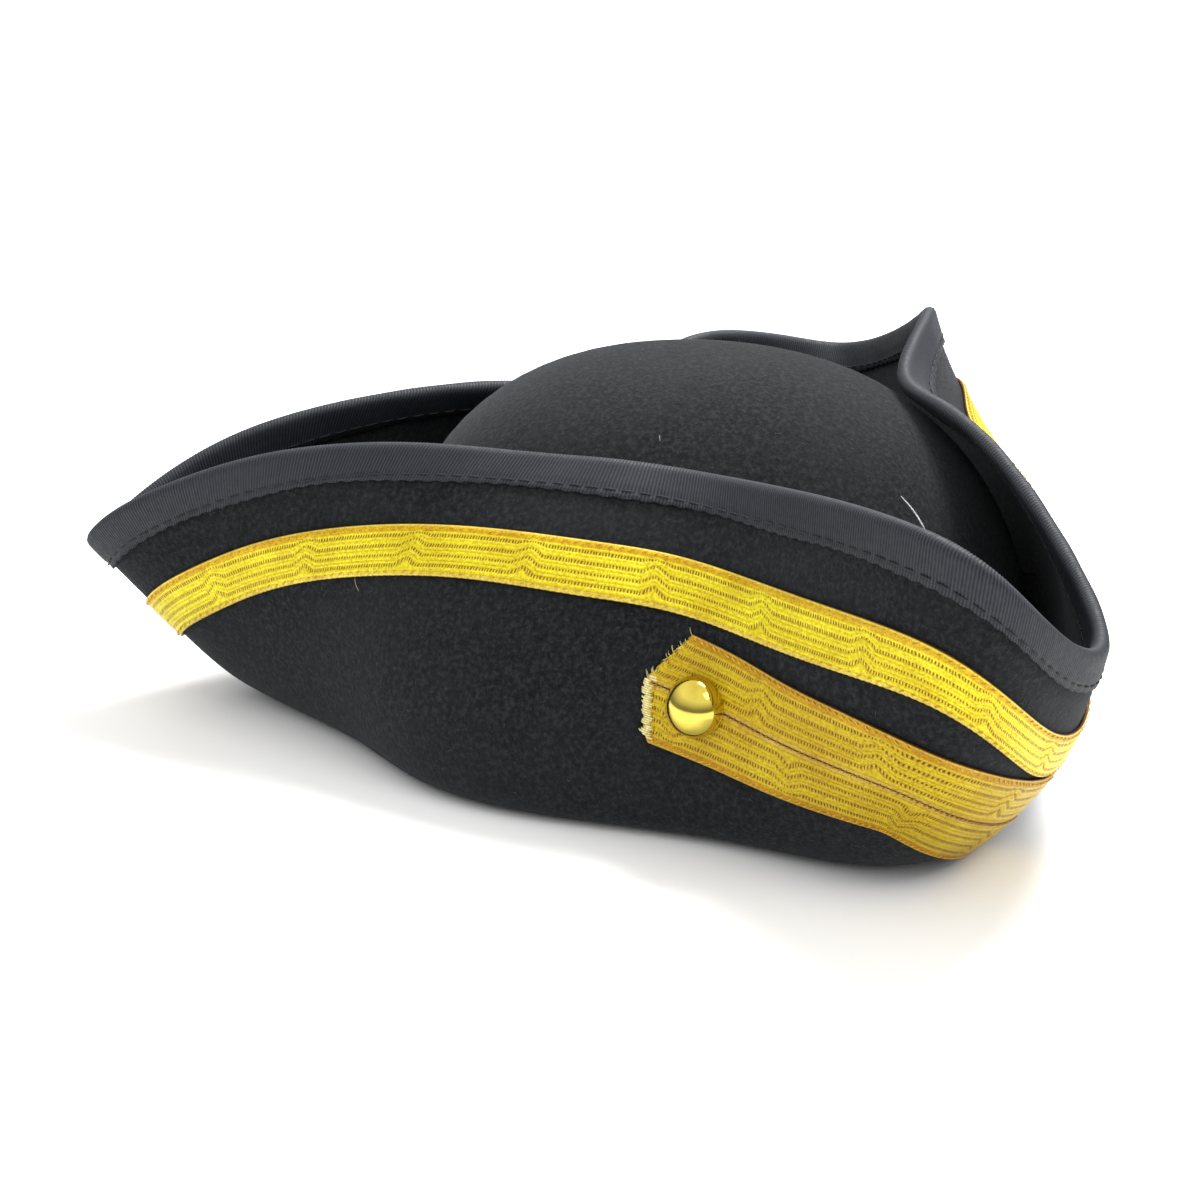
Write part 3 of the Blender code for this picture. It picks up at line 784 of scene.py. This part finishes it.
def add_binding(brim, material):
    _, run = brim.even_turns(0, 1)
    ribs = round(run[-1] / RIB_PITCH)
    turns, places = brim.even_turns(0, ribs * SAMPLES_PER_RIB)
    places = places * ribs * RIB_PITCH / places[-1]
    along = places[:-1]
    section = ribbon_section()
    girth, lift, facing_in, facing_up = (section[:, k, None] for k in range(4))
    rib = (1 + np.cos(along * math.tau / RIB_PITCH)) / 2
    seam = np.exp(-((girth - BINDING_SEAM) / (0.9 * MM)) ** 2)
    pucker = 0.75 + 0.25 * np.cos(along * math.tau / STITCH_PITCH)
    edge = np.clip((girth - BINDING_SEAM) / (BINDING_WIDTH - BINDING_SEAM), 0, 1)
    wander = 0.22 * np.sin(along * math.tau / STITCH_PITCH) + 0.3 * np.sin(along * math.tau / (61 * MM))
    thick = RIBBON / 2 + RIB_HEIGHT * rib * (1 - 0.5 * seam) - 0.3 * MM * seam * pucker
    slack = 0.1 * MM * np.sin(along * math.tau / (23 * MM) + girth * 300)
    top_girth = girth + facing_in * thick + edge * wander * MM
    top_lift = lift + facing_up * (thick + slack)
    under = np.array([19, 14, 12, 9, 0])
    low_girth = (girth - facing_in * RIBBON / 2)[under] + (edge * wander * MM)[under]
    low_lift = (lift - facing_up * RIBBON / 2)[under] + 0 * along
    girths = np.concatenate([top_girth + 0 * along, low_girth])
    lifts = np.concatenate([top_lift, low_lift])
    points = warp(brim.lifted(turns[:-1][None, :], girths, lifts))
    across = np.append(np.arange(len(girths)), 0) * MM
    lay = np.stack(np.broadcast_arrays(places[None, :], across[:, None]), axis=-1)
    piece = grid_piece("binding_ribbon_folded", points, material, around=True, across=True, lay=lay)
    return finish_piece(piece, "hat", ["binding_ribbon"])


def sunk_stitches(name, points, normals, ahead, length, radius, material, sink=0.45 * MM):
    """One stitch at each point: a short bowed thread whose ends go into the cloth."""
    count = len(points)
    steps = 7
    t = np.linspace(-1, 1, steps)
    length = np.broadcast_to(length, (count,))[:, None, None]
    height = STITCH_BOW * (1 - t**2) - sink * np.abs(t) ** 5
    lines = points[:, None] + ahead[:, None] * t[:, None] * length / 2 + normals[:, None] * height[:, None]
    thin = radius * (1 - 0.35 * np.abs(t) ** 4)
    return tubes(name, lines, np.repeat(normals[:, None], steps, axis=1), thin, material, 6)


def row_of_stitches(brim, name, girth, lift, pitch, share, radius, material, slant=0.0, wobble=0.0):
    """Running stitches along one girth, all round the brim."""
    _, run = brim.even_turns(girth, 1)
    count = round(run[-1] / pitch)
    turns, _ = brim.even_turns(girth, count)
    turns = turns[:-1]
    wander = RANDOM.normal(size=count) * wobble
    points, normals = brim.at(turns, girth + wander)
    if lift < 0:
        normals = -normals
        points = points + normals * FELT
    points = warp(points + normals * abs(lift))
    ahead = normalised(brim.at(turns + 0.01, girth)[0] - brim.at(turns - 0.01, girth)[0])
    if slant:
        ahead = normalised(ahead + slant * np.cross(normals, ahead))
    length = pitch * share * (1 + 0.06 * RANDOM.normal(size=count))
    return sunk_stitches(name, points, normals, ahead, length, radius, material)


def add_binding_stitches(brim, material):
    height = GAP + RIBBON + 0.02 * MM
    outside = row_of_stitches(
        brim, "binding_stitches", BINDING_SEAM, height, STITCH_PITCH, 0.84, STITCH_RADIUS, material
    )
    finish_piece(outside, "hat", ["binding_thread"])
    inside = row_of_stitches(
        brim, "binding_stitches_inside", BINDING_SEAM, -height, STITCH_PITCH, 0.8, STITCH_RADIUS, material
    )
    finish_piece(inside, "hat")


# ---------------------------------------------------------------- gold braid


def braid_pattern(along, across):
    """Height and tones over a braid, by place along and across it: each row's rounded top, for painted shade
    between rows and a painted highlight on their tops, and the share of the loops, selvedge and pale rows.
    """
    kinds = [kind for _, kind in BRAID_ROWS]
    widths = np.array([width for width, _ in BRAID_ROWS]) * MM
    edges = np.append(0, np.cumsum(widths)) * BRAID_WIDTH / widths.sum()
    apart = np.abs((along / CHEVRON_PITCH) % 1 - 0.5) * CHEVRON_PITCH
    peak = np.clip(1 - apart / CHEVRON_REACH, 0, 1)
    free = smooth_step((across - BRAID_MARGIN) / CHEVRON_FADE)
    free = free * smooth_step((BRAID_WIDTH - BRAID_MARGIN - across) / CHEVRON_FADE)
    woven = np.clip(across + CHEVRON_PEAK * peak * free, 0, BRAID_WIDTH * 0.9999)
    row = np.clip(np.searchsorted(edges, woven, side="right") - 1, 0, len(kinds) - 1)
    middle = (edges[row] + edges[row + 1]) / 2
    offset = (woven - middle) / (edges[row + 1] - edges[row]) * 2
    round_top = np.sqrt(np.clip(1 - offset**2, 0, 1))
    tall = np.array([CORD_HEIGHT[kind] for kind in kinds])[row]
    bead = 0.65 + 0.35 * np.cos(along * math.tau / LOOP_PITCH)
    looped = np.array([kind == "loops" for kind in kinds])[row]
    height = tall * round_top * np.where(looped, bead, 1)
    # The cord tone is each row's rounded top, which colours the braid with painted shade in the gaps between
    # rows and a painted highlight on their tops; the other tones fade out towards those gaps.
    tones = {"cord": round_top}
    for name in ("loops", "selvedge", "pale"):
        tones[name] = np.array([kind == name for kind in kinds])[row] * np.minimum(1, round_top * 2.2)
    return height, tones


def braid_solid(name, place, along, lanes, material, around=False):
    """A closed strip of braid. place(columns, lanes, lifts) gives its points on the felt."""
    columns = along[:-1] if around else along
    height, tones = braid_pattern(columns[None, :], lanes[:, None] + 0 * columns[None, :])
    scallop = SCALLOP * np.abs(np.sin(columns * math.pi / SCALLOP_PITCH))
    reach = np.clip((lanes[:, None] - BRAID_WIDTH + LOWER_SELVEDGE) / LOWER_SELVEDGE, 0, 1)
    shifted = lanes[:, None] + reach * (scallop - SCALLOP / 2)
    top = place(shifted, GAP + BRAID - 0.35 * MM + height)
    under = lanes[[-1, BRAID_LANES // 2, 0]]
    low = place(under[:, None] + 0 * columns, GAP + 0 * (under[:, None] + columns))
    points = warp(np.concatenate([top, low]))
    across = np.concatenate([lanes, under, lanes[:1]])
    lay = np.stack(np.broadcast_arrays(along[None, :], across[:, None]), axis=-1)
    piece = grid_piece(name, points, material, around=around, across=True, lay=lay, capped=not around)
    for tone, values in tones.items():
        add_tone(piece, tone, values)
    return piece


def braid_lanes():
    return np.linspace(0, BRAID_WIDTH, BRAID_LANES)


def add_brim_braid(brim, material, gold):
    middle = BRAID_TOP + BRAID_WIDTH / 2
    _, run = brim.even_turns(middle, 1)
    repeats = round(run[-1] / CHEVRON_PITCH)
    turns, places = brim.even_turns(middle, round(run[-1] / BRAID_STEP))
    places = places * repeats * CHEVRON_PITCH / places[-1] + BRIM_CHEVRON_START

    def place(lanes, lifts):
        return brim.lifted(turns[:-1][None, :], BRAID_TOP + lanes, lifts)

    piece = braid_solid("brim_braid_woven", place, places, braid_lanes(), material, around=True)
    finish_piece(piece, "hat", ["brim_braid"])
    lift = GAP + BRAID + 0.05 * MM
    for name, node, girth in (
        ("braid_stitches_upper", "braid_thread_upper", BRAID_TOP + BRAID_MARGIN),
        ("braid_stitches_lower", "braid_thread_lower", BRAID_TOP + BRAID_WIDTH - BRAID_MARGIN),
    ):
        row = row_of_stitches(brim, name, girth, lift, 3.4 * MM, 0.55, 0.17 * MM, gold, 0.5, 0.12 * MM)
        finish_piece(row, "hat", [node])


# ---------------------------------------------------------------- loop


def smooth_route(route, t):
    """Catmull-Rom curve through the route's places, t counting from one to the next."""
    points = np.array(route)
    first = np.minimum(t.astype(int), len(points) - 2)
    t = (t - first)[:, None]
    a, b, c, d = (points[np.clip(first + k, 0, len(points) - 1)] for k in (-1, 0, 1, 2))
    return (2 * b + (c - a) * t + (2 * a - 5 * b + 4 * c - d) * t**2 + (3 * b - a - 3 * c + d) * t**3) / 2


def smoothed(values, passes, axis=0):
    for _ in range(passes):
        ends = [np.take(values, [k], axis=axis) for k in (0, -1)]
        padded = np.concatenate([ends[0], values, ends[1]], axis=axis)
        count = values.shape[axis]
        low = np.take(padded, np.arange(count), axis=axis)
        high = np.take(padded, np.arange(count) + 2, axis=axis)
        values = (low + 2 * values + high) / 4
    return values


def loop_trail(brim):
    """Even steps along the loop's seam, on the felt's outer face, and their distances."""
    turn, girth = smooth_route(LOOP_ROUTE, np.linspace(0, len(LOOP_ROUTE) - 1, 900)).T
    points = brim.at(turn, girth)[0]
    run = np.append(0, np.cumsum(np.linalg.norm(np.diff(points, axis=0), axis=1)))
    along = np.arange(0, run[-1], BRAID_STEP)
    points, normals = brim.at(np.interp(along, run, turn), np.interp(along, run, girth))
    return along, points, normals


def loop_sheet(brim, face):
    """Grid of places beside the loop's seam, walked over the felt: (lanes, steps, 3)."""
    along, points, normals = loop_trail(brim)
    columns = face.shape[1]
    faces = grid_faces(len(face), columns, True, False).tolist()
    tree = BVHTree.FromPolygons(face.reshape(-1, 3).tolist(), faces)
    headings = smoothed(normalised(np.gradient(points, axis=0)), 20)
    steps = 12
    sides = {}
    for side in (-1, 1):
        lanes = np.zeros((steps + 1, len(points), 3))
        for k, (place, normal, heading) in enumerate(zip(points, normals, headings)):
            spot = Vector(place)
            facing = Vector(normal)
            aside = Vector(heading).cross(facing).normalized() * side
            lanes[0, k] = spot
            for lane in range(1, steps + 1):
                start = spot
                spot, facing, _, _ = tree.find_nearest(start + aside * BRAID_WIDTH / steps)
                aside = (spot - start).normalized()
                aside = (aside - facing * aside.dot(facing)).normalized()
                lanes[lane, k] = spot
        sides[side] = smoothed(lanes, 8, axis=1)
    sheet = np.concatenate([sides[-1][:0:-1], sides[1]])
    by_lane = np.gradient(sheet, axis=0)
    by_step = np.gradient(sheet, axis=1)
    facing = smoothed(smoothed(normalised(np.cross(by_step, by_lane)), 12, axis=1), 2, axis=0)
    if np.sum(facing[steps] * normals) < 0:
        facing = -facing
    return along, sheet, facing


def across_sheet(sheet, lanes):
    """Points of the loop's grid at signed distances from its seam, one per lane and step."""
    count = sheet.shape[0] - 1
    place = np.clip((lanes / BRAID_WIDTH + 1) / 2 * count, 0, count - 1e-6)
    low = place.astype(int)
    share = (place - low)[..., None]
    step = np.arange(sheet.shape[1])[None, :]
    return sheet[low, step] * (1 - share) + sheet[low + 1, step] * share


def trimmed(points, cut):
    """Slides each lane's steps along so that it starts where the strip was cut off."""
    count = points.shape[1]
    fade = 60
    for lane in range(points.shape[0]):
        first = cut[lane] / BRAID_STEP
        steps = np.arange(count, dtype=float)
        steps[:fade] = first + (fade - first) * steps[:fade] / fade
        for axis in range(3):
            points[lane, :, axis] = np.interp(steps, np.arange(count), points[lane, :, axis])
    return points


def end_cut(beside):
    """How far back the loop's front end is cut, at signed distances from its seam."""
    away = abs(beside) / BRAID_WIDTH
    lower = LOWER_CUT * away + CORNER_CUT * np.maximum(away - 0.85, 0)
    return np.where(beside < 0, UPPER_CUT * away, lower) + 0.2 * MM * np.sin(away * 37)


def add_loop(brim, face, material, gold, pale, dark):
    along, sheet, facing = loop_sheet(brim, face)
    for name, side in (("upper", -1), ("lower", 1)):

        def place(shifted, lifts, side=side):
            beside = np.clip(BRAID_WIDTH - shifted, 0.12 * MM, None) * side
            beside = np.broadcast_to(beside, lifts.shape)
            points = across_sheet(sheet, beside)
            points = points + across_sheet(facing, beside) * (lifts[..., None] + LOOP_RAISE)
            return trimmed(points, end_cut(beside[:, 0]))

        woven = along + LOOP_CHEVRON_STARTS[name]
        piece = braid_solid("loop_braid_" + name, place, woven, braid_lanes(), material)
        pierce(piece, *button_axis(), SHANK_HOLE, LOOP_HOLE_REACH)
        finish_piece(piece, "hat", ["loop_strip_" + name])
        add_loop_stitches(name, side, sheet, facing, gold)
    add_end_stitches(sheet, facing, pale, dark)
    add_end_fray(sheet, facing, pale)
    add_seam(sheet, facing, dark)


def sheet_row(sheet, facing, beside, first, pitch, lift):
    """Points, normals and headings at even steps along the loop, at one distance from its seam."""
    steps = np.arange(first, sheet.shape[1] - 8, pitch / BRAID_STEP).astype(int)
    lanes = np.full((1, sheet.shape[1]), beside)
    line, normals = across_sheet(sheet, lanes)[0], across_sheet(facing, lanes)[0]
    ahead = normalised(np.gradient(line, axis=0))
    return warp(line[steps] + normals[steps] * lift), normals[steps], ahead[steps]


def add_loop_stitches(name, side, sheet, facing, gold):
    """Slanted stitches that hold the strip's outer edge down."""
    beside = side * (BRAID_WIDTH - 1.0 * MM)
    first = end_cut(np.array(beside)) / BRAID_STEP + 4
    points, normals, ahead = sheet_row(sheet, facing, beside, first, 2.3 * MM, LOOP_TOP + 0.05 * MM)
    slanted = normalised(ahead + 0.7 * side * np.cross(normals, ahead))
    piece = sunk_stitches("loop_stitches_" + name, points, normals, slanted, 1.7 * MM, 0.2 * MM, gold)
    finish_piece(piece, "hat", ["loop_thread_" + name])


def add_seam(sheet, facing, dark):
    """Stitches across the seam that draw the two strips together."""
    stitch = 1.9 * MM
    points, normals, ahead = sheet_row(sheet, facing, 0.0, 4, stitch, LOOP_TOP - 0.05 * MM)
    centre, axis = (np.array(vector) for vector in button_axis())
    clear = np.linalg.norm(np.cross(points - centre, axis), axis=1) > SHANK_HOLE + stitch
    points, normals, ahead = points[clear], normals[clear], ahead[clear]
    slanted = normalised(np.cross(normals, ahead) + 0.9 * ahead)
    piece = sunk_stitches("loop_seam_stitches", points, normals, slanted, stitch, 0.19 * MM, dark)
    finish_piece(piece, "hat")


def end_row(sheet, facing, beside, back):
    """Points, normals and headings on the loop's top, so far back from its cut end."""
    lanes = np.repeat(beside[:, None], sheet.shape[1], axis=1)
    lines, normals = across_sheet(sheet, lanes), across_sheet(facing, lanes)
    rows = np.arange(len(beside))
    steps = np.round((end_cut(beside) + back) / BRAID_STEP).astype(int)
    ahead = normalised(lines[rows, steps + 3] - lines[rows, steps])
    normals = normals[rows, steps]
    return warp(lines[rows, steps] + normals * LOOP_TOP), normals, ahead


def add_end_stitches(sheet, facing, pale, dark):
    """Close overcast stitches over the lower strip's cut end, and the row of stitches behind them."""
    beside = np.arange(-0.1, 0.93, 0.037) * BRAID_WIDTH
    points, normals, ahead = end_row(sheet, facing, beside, 1.2 * MM)
    points = points + ahead * RANDOM.normal(size=(len(points), 1)) * 0.25 * MM
    length = 3.1 * MM * (1 + 0.12 * RANDOM.normal(size=len(points)))
    piece = sunk_stitches("loop_end_stitches", points, normals, ahead, length, 0.3 * MM, pale, sink=1.0 * MM)
    finish_piece(piece, "hat")
    points, normals, ahead = end_row(sheet, facing, np.arange(0.05, 0.9, 0.11) * BRAID_WIDTH, 3.3 * MM)
    across = np.cross(normals, ahead)
    row = sunk_stitches("loop_end_seam", points, normals, across, 1.5 * MM, 0.2 * MM, dark)
    finish_piece(row, "hat")


def add_end_fray(sheet, facing, pale):
    """Cut threads that stand out from the loop's front end, most of them on its upper strip."""
    beside = RANDOM.uniform(-0.97, 0.25, 48) * BRAID_WIDTH
    points, normals, ahead = end_row(sheet, facing, beside, 0.6 * MM)
    roots = points - normals * RANDOM.uniform(0.1, 0.9, (len(points), 1)) * BRAID
    piece = wisps("loop_end_fray", roots, normalised(0.3 * normals - ahead), 1.5 * MM, 0.09 * MM, pale)
    finish_piece(piece, "hat")


# ---------------------------------------------------------------- button


def add_button(material):
    """The polished dome with its rolled lip, hollow underneath."""
    centre, axis = button_axis()
    place = Matrix.Translation(centre) @ axis.to_track_quat("Z", "Y").to_matrix().to_4x4()
    lip, flare = BUTTON_LIP, BUTTON_LIP * 0.4
    base = BUTTON_BASE - BUTTON_SINK
    tall = BUTTON_BASE + BUTTON_HEIGHT - base - lip
    wide = BUTTON_RADIUS - flare
    profile = []
    for k in range(1, DOME_STEPS + 1):
        angle = math.pi / 2 * k / DOME_STEPS
        profile.append((wide * math.sin(angle), base + lip + tall * math.cos(angle)))
    for k in range(1, LIP_STEPS):
        angle = math.pi / 2 - math.pi * k / LIP_STEPS
        profile.append((wide + flare * math.cos(angle), base + lip * math.sin(angle) * 0.9))
    for k in range(INSIDE_STEPS):
        angle = math.pi / 2 * (1 - k / INSIDE_STEPS)
        height = base + 0.05 * MM + (tall - 0.1 * MM) * math.cos(angle)
        profile.append(((wide - BUTTON_WALL) * math.sin(angle), height))
    radius, height = (np.array(profile)[:, k, None] for k in (0, 1))
    angles = np.arange(BUTTON_SIDES) * math.tau / BUTTON_SIDES
    grid = np.stack([radius * np.cos(angles), radius * np.sin(angles), height + 0 * angles], axis=-1)
    piece = grid_piece("button_shell", grid, material, around=True, poles=True)
    piece.data.transform(place)
    finish_piece(piece, "button", ["button_dome"])


def paint_nodes(names, material):
    for name in names:
        node = frame["nodes"][name]
        node.data.materials.clear()
        node.data.materials.append(material)


# ---------------------------------------------------------------- sweatband


def add_sweatband(material, dark):
    count = 720
    angles = np.arange(count + 1) * math.tau / count
    edge = round_the_head(angles, head_radius(angles), 0)
    run = np.append(0, np.cumsum(np.linalg.norm(np.diff(edge, axis=0), axis=1)))
    angles, columns = angles[:-1], run[:-1]

    def ring(height, inset):
        return round_the_head(angles, head_radius(angles) - inset, height) + np.stack(
            [0 * angles, CROWN_LEAN * height + 0 * angles, 0 * angles], axis=-1
        )

    near = 2 * GAP
    rows = []
    heights = np.linspace(0, 1, 12)
    for share in heights:
        wave = 0.35 * MM * share * np.sin(columns * math.tau / (47 * MM))
        thick = SWEATBAND * (0.72 + 0.28 * abs(2 * share - 1) ** 6)
        height = SWEATBAND_BOTTOM + SWEATBAND_HEIGHT * share + wave
        rows.append(ring(height, near + thick + share * 0.4 * MM))
    for share in heights[::-3]:
        rows.append(ring(SWEATBAND_BOTTOM + SWEATBAND_HEIGHT * share, near))
    points = warp(np.array(rows))
    across = np.append(np.arange(len(rows)), 0) * 2 * MM
    lay = np.stack(np.broadcast_arrays(run[None, :], across[:, None]), axis=-1)
    piece = grid_piece("sweatband_band", points, material, around=True, across=True, lay=lay)
    finish_piece(piece, "hat", ["sweatband"])

    stitches = round(run[-1] / (4 * MM))
    turns = np.interp(np.arange(stitches) / stitches * run[-1], run, np.append(angles, math.tau))
    height = SWEATBAND_BOTTOM + 3 * MM
    inset = near + SWEATBAND + 0.05 * MM
    line = round_the_head(turns, head_radius(turns) - inset, height) + np.array((0, CROWN_LEAN * height, 0))
    ahead = normalised(np.roll(line, -1, axis=0) - np.roll(line, 1, axis=0))
    inward = np.cross(np.array((0, 0, 1.0)), ahead)
    thread = sunk_stitches("sweatband_stitches", warp(line), inward, ahead, 2.9 * MM, 0.22 * MM, dark)
    finish_piece(thread, "hat", ["sweatband_thread"])


# ---------------------------------------------------------------- loose fibres


def wisps(name, roots, normals, length, radius, material, curl=0.6, steps=6, sides=4):
    """Thin loose threads that grow from their roots and bend away."""
    count = len(roots)
    lean = normalised(RANDOM.normal(size=(count, 3)))
    lean = normalised(lean - normals * np.sum(lean * normals, axis=1, keepdims=True) * 0.9)
    t = np.linspace(0, 1, steps)[None, :, None]
    length = (length * np.clip(1 + 0.35 * RANDOM.normal(size=count), 0.3, 2))[:, None, None]
    bend = lean[:, None] * (t + curl * t**2) * 0.7
    lines = roots[:, None] + (normals[:, None] * (t - 0.45 * curl * t**2) + bend) * length
    side = normalised(np.cross(lean, normals))
    thin = radius * (1 - 0.6 * t[0, :, 0] ** 2)
    return tubes(name, lines, np.repeat(side[:, None], steps, axis=1), thin, material, sides)


def add_felt_fuzz(face, normals, material):
    """Short fibres that stand off the felt on both faces."""
    rows, columns = face.shape[:2]
    count = FUZZ_FIBRES
    r = RANDOM.integers(2, rows - 2, count)
    c = RANDOM.integers(0, columns, count)
    share = RANDOM.uniform(size=(count, 1))
    roots = face[r, c] * (1 - share) + face[r, (c + 1) % columns] * share
    inner = RANDOM.uniform(size=count) < 0.5
    facing = np.where(inner[:, None], -normals[r, c], normals[r, c])
    roots = roots + np.where(inner[:, None], facing * FELT, 0)
    clear = roots[:, 2] + facing[:, 2] * MM > 1.5 * MM
    roots, facing = roots[clear], facing[clear]
    piece = wisps("felt_fuzz", warp(roots), facing, 0.8 * MM, 0.022 * MM, material, sides=3, steps=4)
    finish_piece(piece, "hat")


def crown_spot(face, degrees, height):
    """A place on the crown's outside, by its angle round the head and its height."""
    crown = face[BRIM_ROWS + SHELF_ROWS + FILLET_ROWS:]
    flat = crown[0] - HEAD_CENTRE
    angles = np.degrees(np.arctan2(flat[:, 0], -flat[:, 1]))
    column = np.argmin(abs(angles - degrees))
    row = np.argmin(abs(crown[:, column, 2] - height))
    return crown[row, column]


def add_loose_threads(brim, face, grey, gold):
    """A thread end behind the near rim, two bits of lint on the crown, two hairs on the braid."""
    turns = np.array([6.85, 3.1, 5.55])
    girths = np.array([0.0, BRAID_TOP + BRAID_WIDTH, BRAID_TOP + BRAID_WIDTH])
    roots, facing = brim.at(turns, girths)
    roots[0] -= facing[0] * (FELT + RIBBON)
    facing[0] = normalised(np.array((0.2, 0.25, 1.0)))
    ends = wisps("loose_thread_end", warp(roots[:1]), facing[:1], 8 * MM, 0.22 * MM, grey, 0.3)
    finish_piece(ends, "hat")
    hairs = wisps("braid_hairs", warp(roots[1:]), facing[1:], 4 * MM, 0.07 * MM, gold, 1.2)
    finish_piece(hairs, "hat")
    spots = np.array([crown_spot(face, 75, 103 * MM), crown_spot(face, 73, 95 * MM)])
    up = normalised(spots - HEAD_CENTRE - np.array((0, 0, 60)) * MM)
    lint = wisps("lint_on_crown", warp(spots + up * FELT), up, 1.1 * MM, 0.08 * MM, grey, 1.5)
    finish_piece(lint, "hat")


def build_hat():
    felt = felt_look()
    ribbon = grosgrain_look()
    braid = braid_look("gold_braid", (0.93, 0.88, 0.75))
    # The loop's braid is a darker copy of the same braid.
    darker_braid = braid_look("gold_braid_darker", (0.68, 0.55, 0.48))
    gold = thread_look("gold_sewing_thread", (0.40, 0.18, 0.005), (0.80, 0.52, 0.02), 0.45)
    pale = thread_look("cream_gold_thread", (0.62, 0.50, 0.14), (0.95, 0.88, 0.48), 0.5)
    tawny = thread_look("tawny_thread", (0.16, 0.06, 0.004), (0.50, 0.26, 0.015), 0.5)
    dark = thread_look("black_thread", (0.004, 0.004, 0.005), (0.018, 0.019, 0.023), 0.7)
    lint = thread_look("grey_lint", (0.08, 0.083, 0.088), (0.20, 0.205, 0.21), 0.8)
    light_lint = thread_look("light_lint", (0.35, 0.36, 0.37), (0.70, 0.71, 0.70), 0.8)
    twill = sweatband_look()
    brass = brass_look()

    brim = Brim()
    face = outer_face(brim)
    normals = felt_normals(face)
    add_felt(face, normals, felt)
    add_binding(brim, ribbon)
    add_binding_stitches(brim, dark)
    add_brim_braid(brim, braid, gold)
    add_loop(brim, face[:BRIM_ROWS + SHELF_ROWS], darker_braid, gold, pale, tawny)
    add_loose_threads(brim, face, light_lint, pale)
    add_button(brass)
    add_sweatband(twill, dark)
    add_felt_fuzz(face, normals, lint)
    paint_nodes(("button_back", "button_shank"), brass)
    paint_nodes(("button_tie", "left_flap_tack", "right_flap_tack", "back_flap_tack"), dark)


# ---------------------------------------------------------------- stage, light and camera

FLOOR_REACH = 60
SKY_LOW = 0.3
SKY_HIGH = 1.3
LIGHT_AIM = Vector((0, 0.02, 0.05))


def add_floor():
    points = [(x * FLOOR_REACH, y * FLOOR_REACH, 0) for x, y in ((-1, -1), (1, -1), (1, 1), (-1, 1))]
    look = Look("white_paper", (0.9, 0.9, 0.9), Roughness=0.9)
    look.shader.inputs["Specular IOR Level"].default_value = 0.1
    colour = look.ramp(look.noise(3, 2), (0.3, (0.89, 0.89, 0.89)), (0.7, (0.91, 0.91, 0.91)))
    floor = new_piece("floor", points, [(0, 1, 2, 3)], look.finish(colour))


def area_light(name, place, size, power):
    lamp = bpy.data.lights.new(name, "AREA")
    lamp.shape = "RECTANGLE"
    lamp.size, lamp.size_y = size
    lamp.energy = power
    light = bpy.data.objects.new(name, lamp)
    light.location = place
    light.rotation_mode = "QUATERNION"
    light.rotation_quaternion = (Vector(place) - LIGHT_AIM).to_track_quat("Z", "Y")
    bpy.context.scene.collection.objects.link(light)


def add_light():
    """A white tent that is brighter overhead, and two soft boxes above the hat."""
    world = bpy.data.worlds.new("studio")
    bpy.context.scene.world = world
    world.use_nodes = True
    nodes, links = world.node_tree.nodes, world.node_tree.links
    nodes["Background"].inputs["Color"].default_value = (1, 1, 1, 1)
    split = nodes.new("ShaderNodeSeparateXYZ")
    links.new(nodes.new("ShaderNodeTexCoord").outputs["Generated"], split.inputs[0])
    rise = nodes.new("ShaderNodeMapRange")
    rise.inputs["From Min"].default_value = 0.15
    rise.inputs["From Max"].default_value = 0.6
    rise.inputs["To Min"].default_value = SKY_LOW
    rise.inputs["To Max"].default_value = SKY_HIGH
    links.new(split.outputs[2], rise.inputs["Value"])
    links.new(rise.outputs["Result"], nodes["Background"].inputs["Strength"])
    area_light("key", (-0.55, 0.45, 1.4), (0.6, 0.6), 32)
    area_light("fill", (0.7, 0.8, 1.3), (0.7, 0.6), 5)


CAMERA_TARGET = Vector((1.8, 9.5, 33.2)) * MM
CAMERA_AZIMUTH = math.radians(90.4)
CAMERA_ELEVATION = math.radians(20.0)
CAMERA_ROLL = math.radians(0.7)
CAMERA_DISTANCE = 785.8 * MM
CAMERA_LENS = 71.886


def add_camera():
    camera = bpy.data.cameras.new("camera")
    camera.lens = CAMERA_LENS
    camera.sensor_width = 36
    camera.clip_start = 0.01
    flat = math.cos(CAMERA_ELEVATION)
    back = Vector((
        math.sin(CAMERA_AZIMUTH) * flat,
        -math.cos(CAMERA_AZIMUTH) * flat,
        math.sin(CAMERA_ELEVATION),
    ))
    right = Vector((math.cos(CAMERA_AZIMUTH), math.sin(CAMERA_AZIMUTH), 0))
    up = back.cross(right)
    tilted = right * math.cos(CAMERA_ROLL) + up * math.sin(CAMERA_ROLL)
    upright = up * math.cos(CAMERA_ROLL) - right * math.sin(CAMERA_ROLL)
    place = bpy.data.objects.new("camera", camera)
    turn = Matrix((tilted, upright, back)).transposed().to_4x4()
    place.matrix_world = Matrix.Translation(CAMERA_TARGET + back * CAMERA_DISTANCE) @ turn
    bpy.context.scene.collection.objects.link(place)
    bpy.context.scene.camera = place


add_camera()
add_light()
add_floor()
build_hat()
bpy.context.scene.view_settings.view_transform = "Standard"
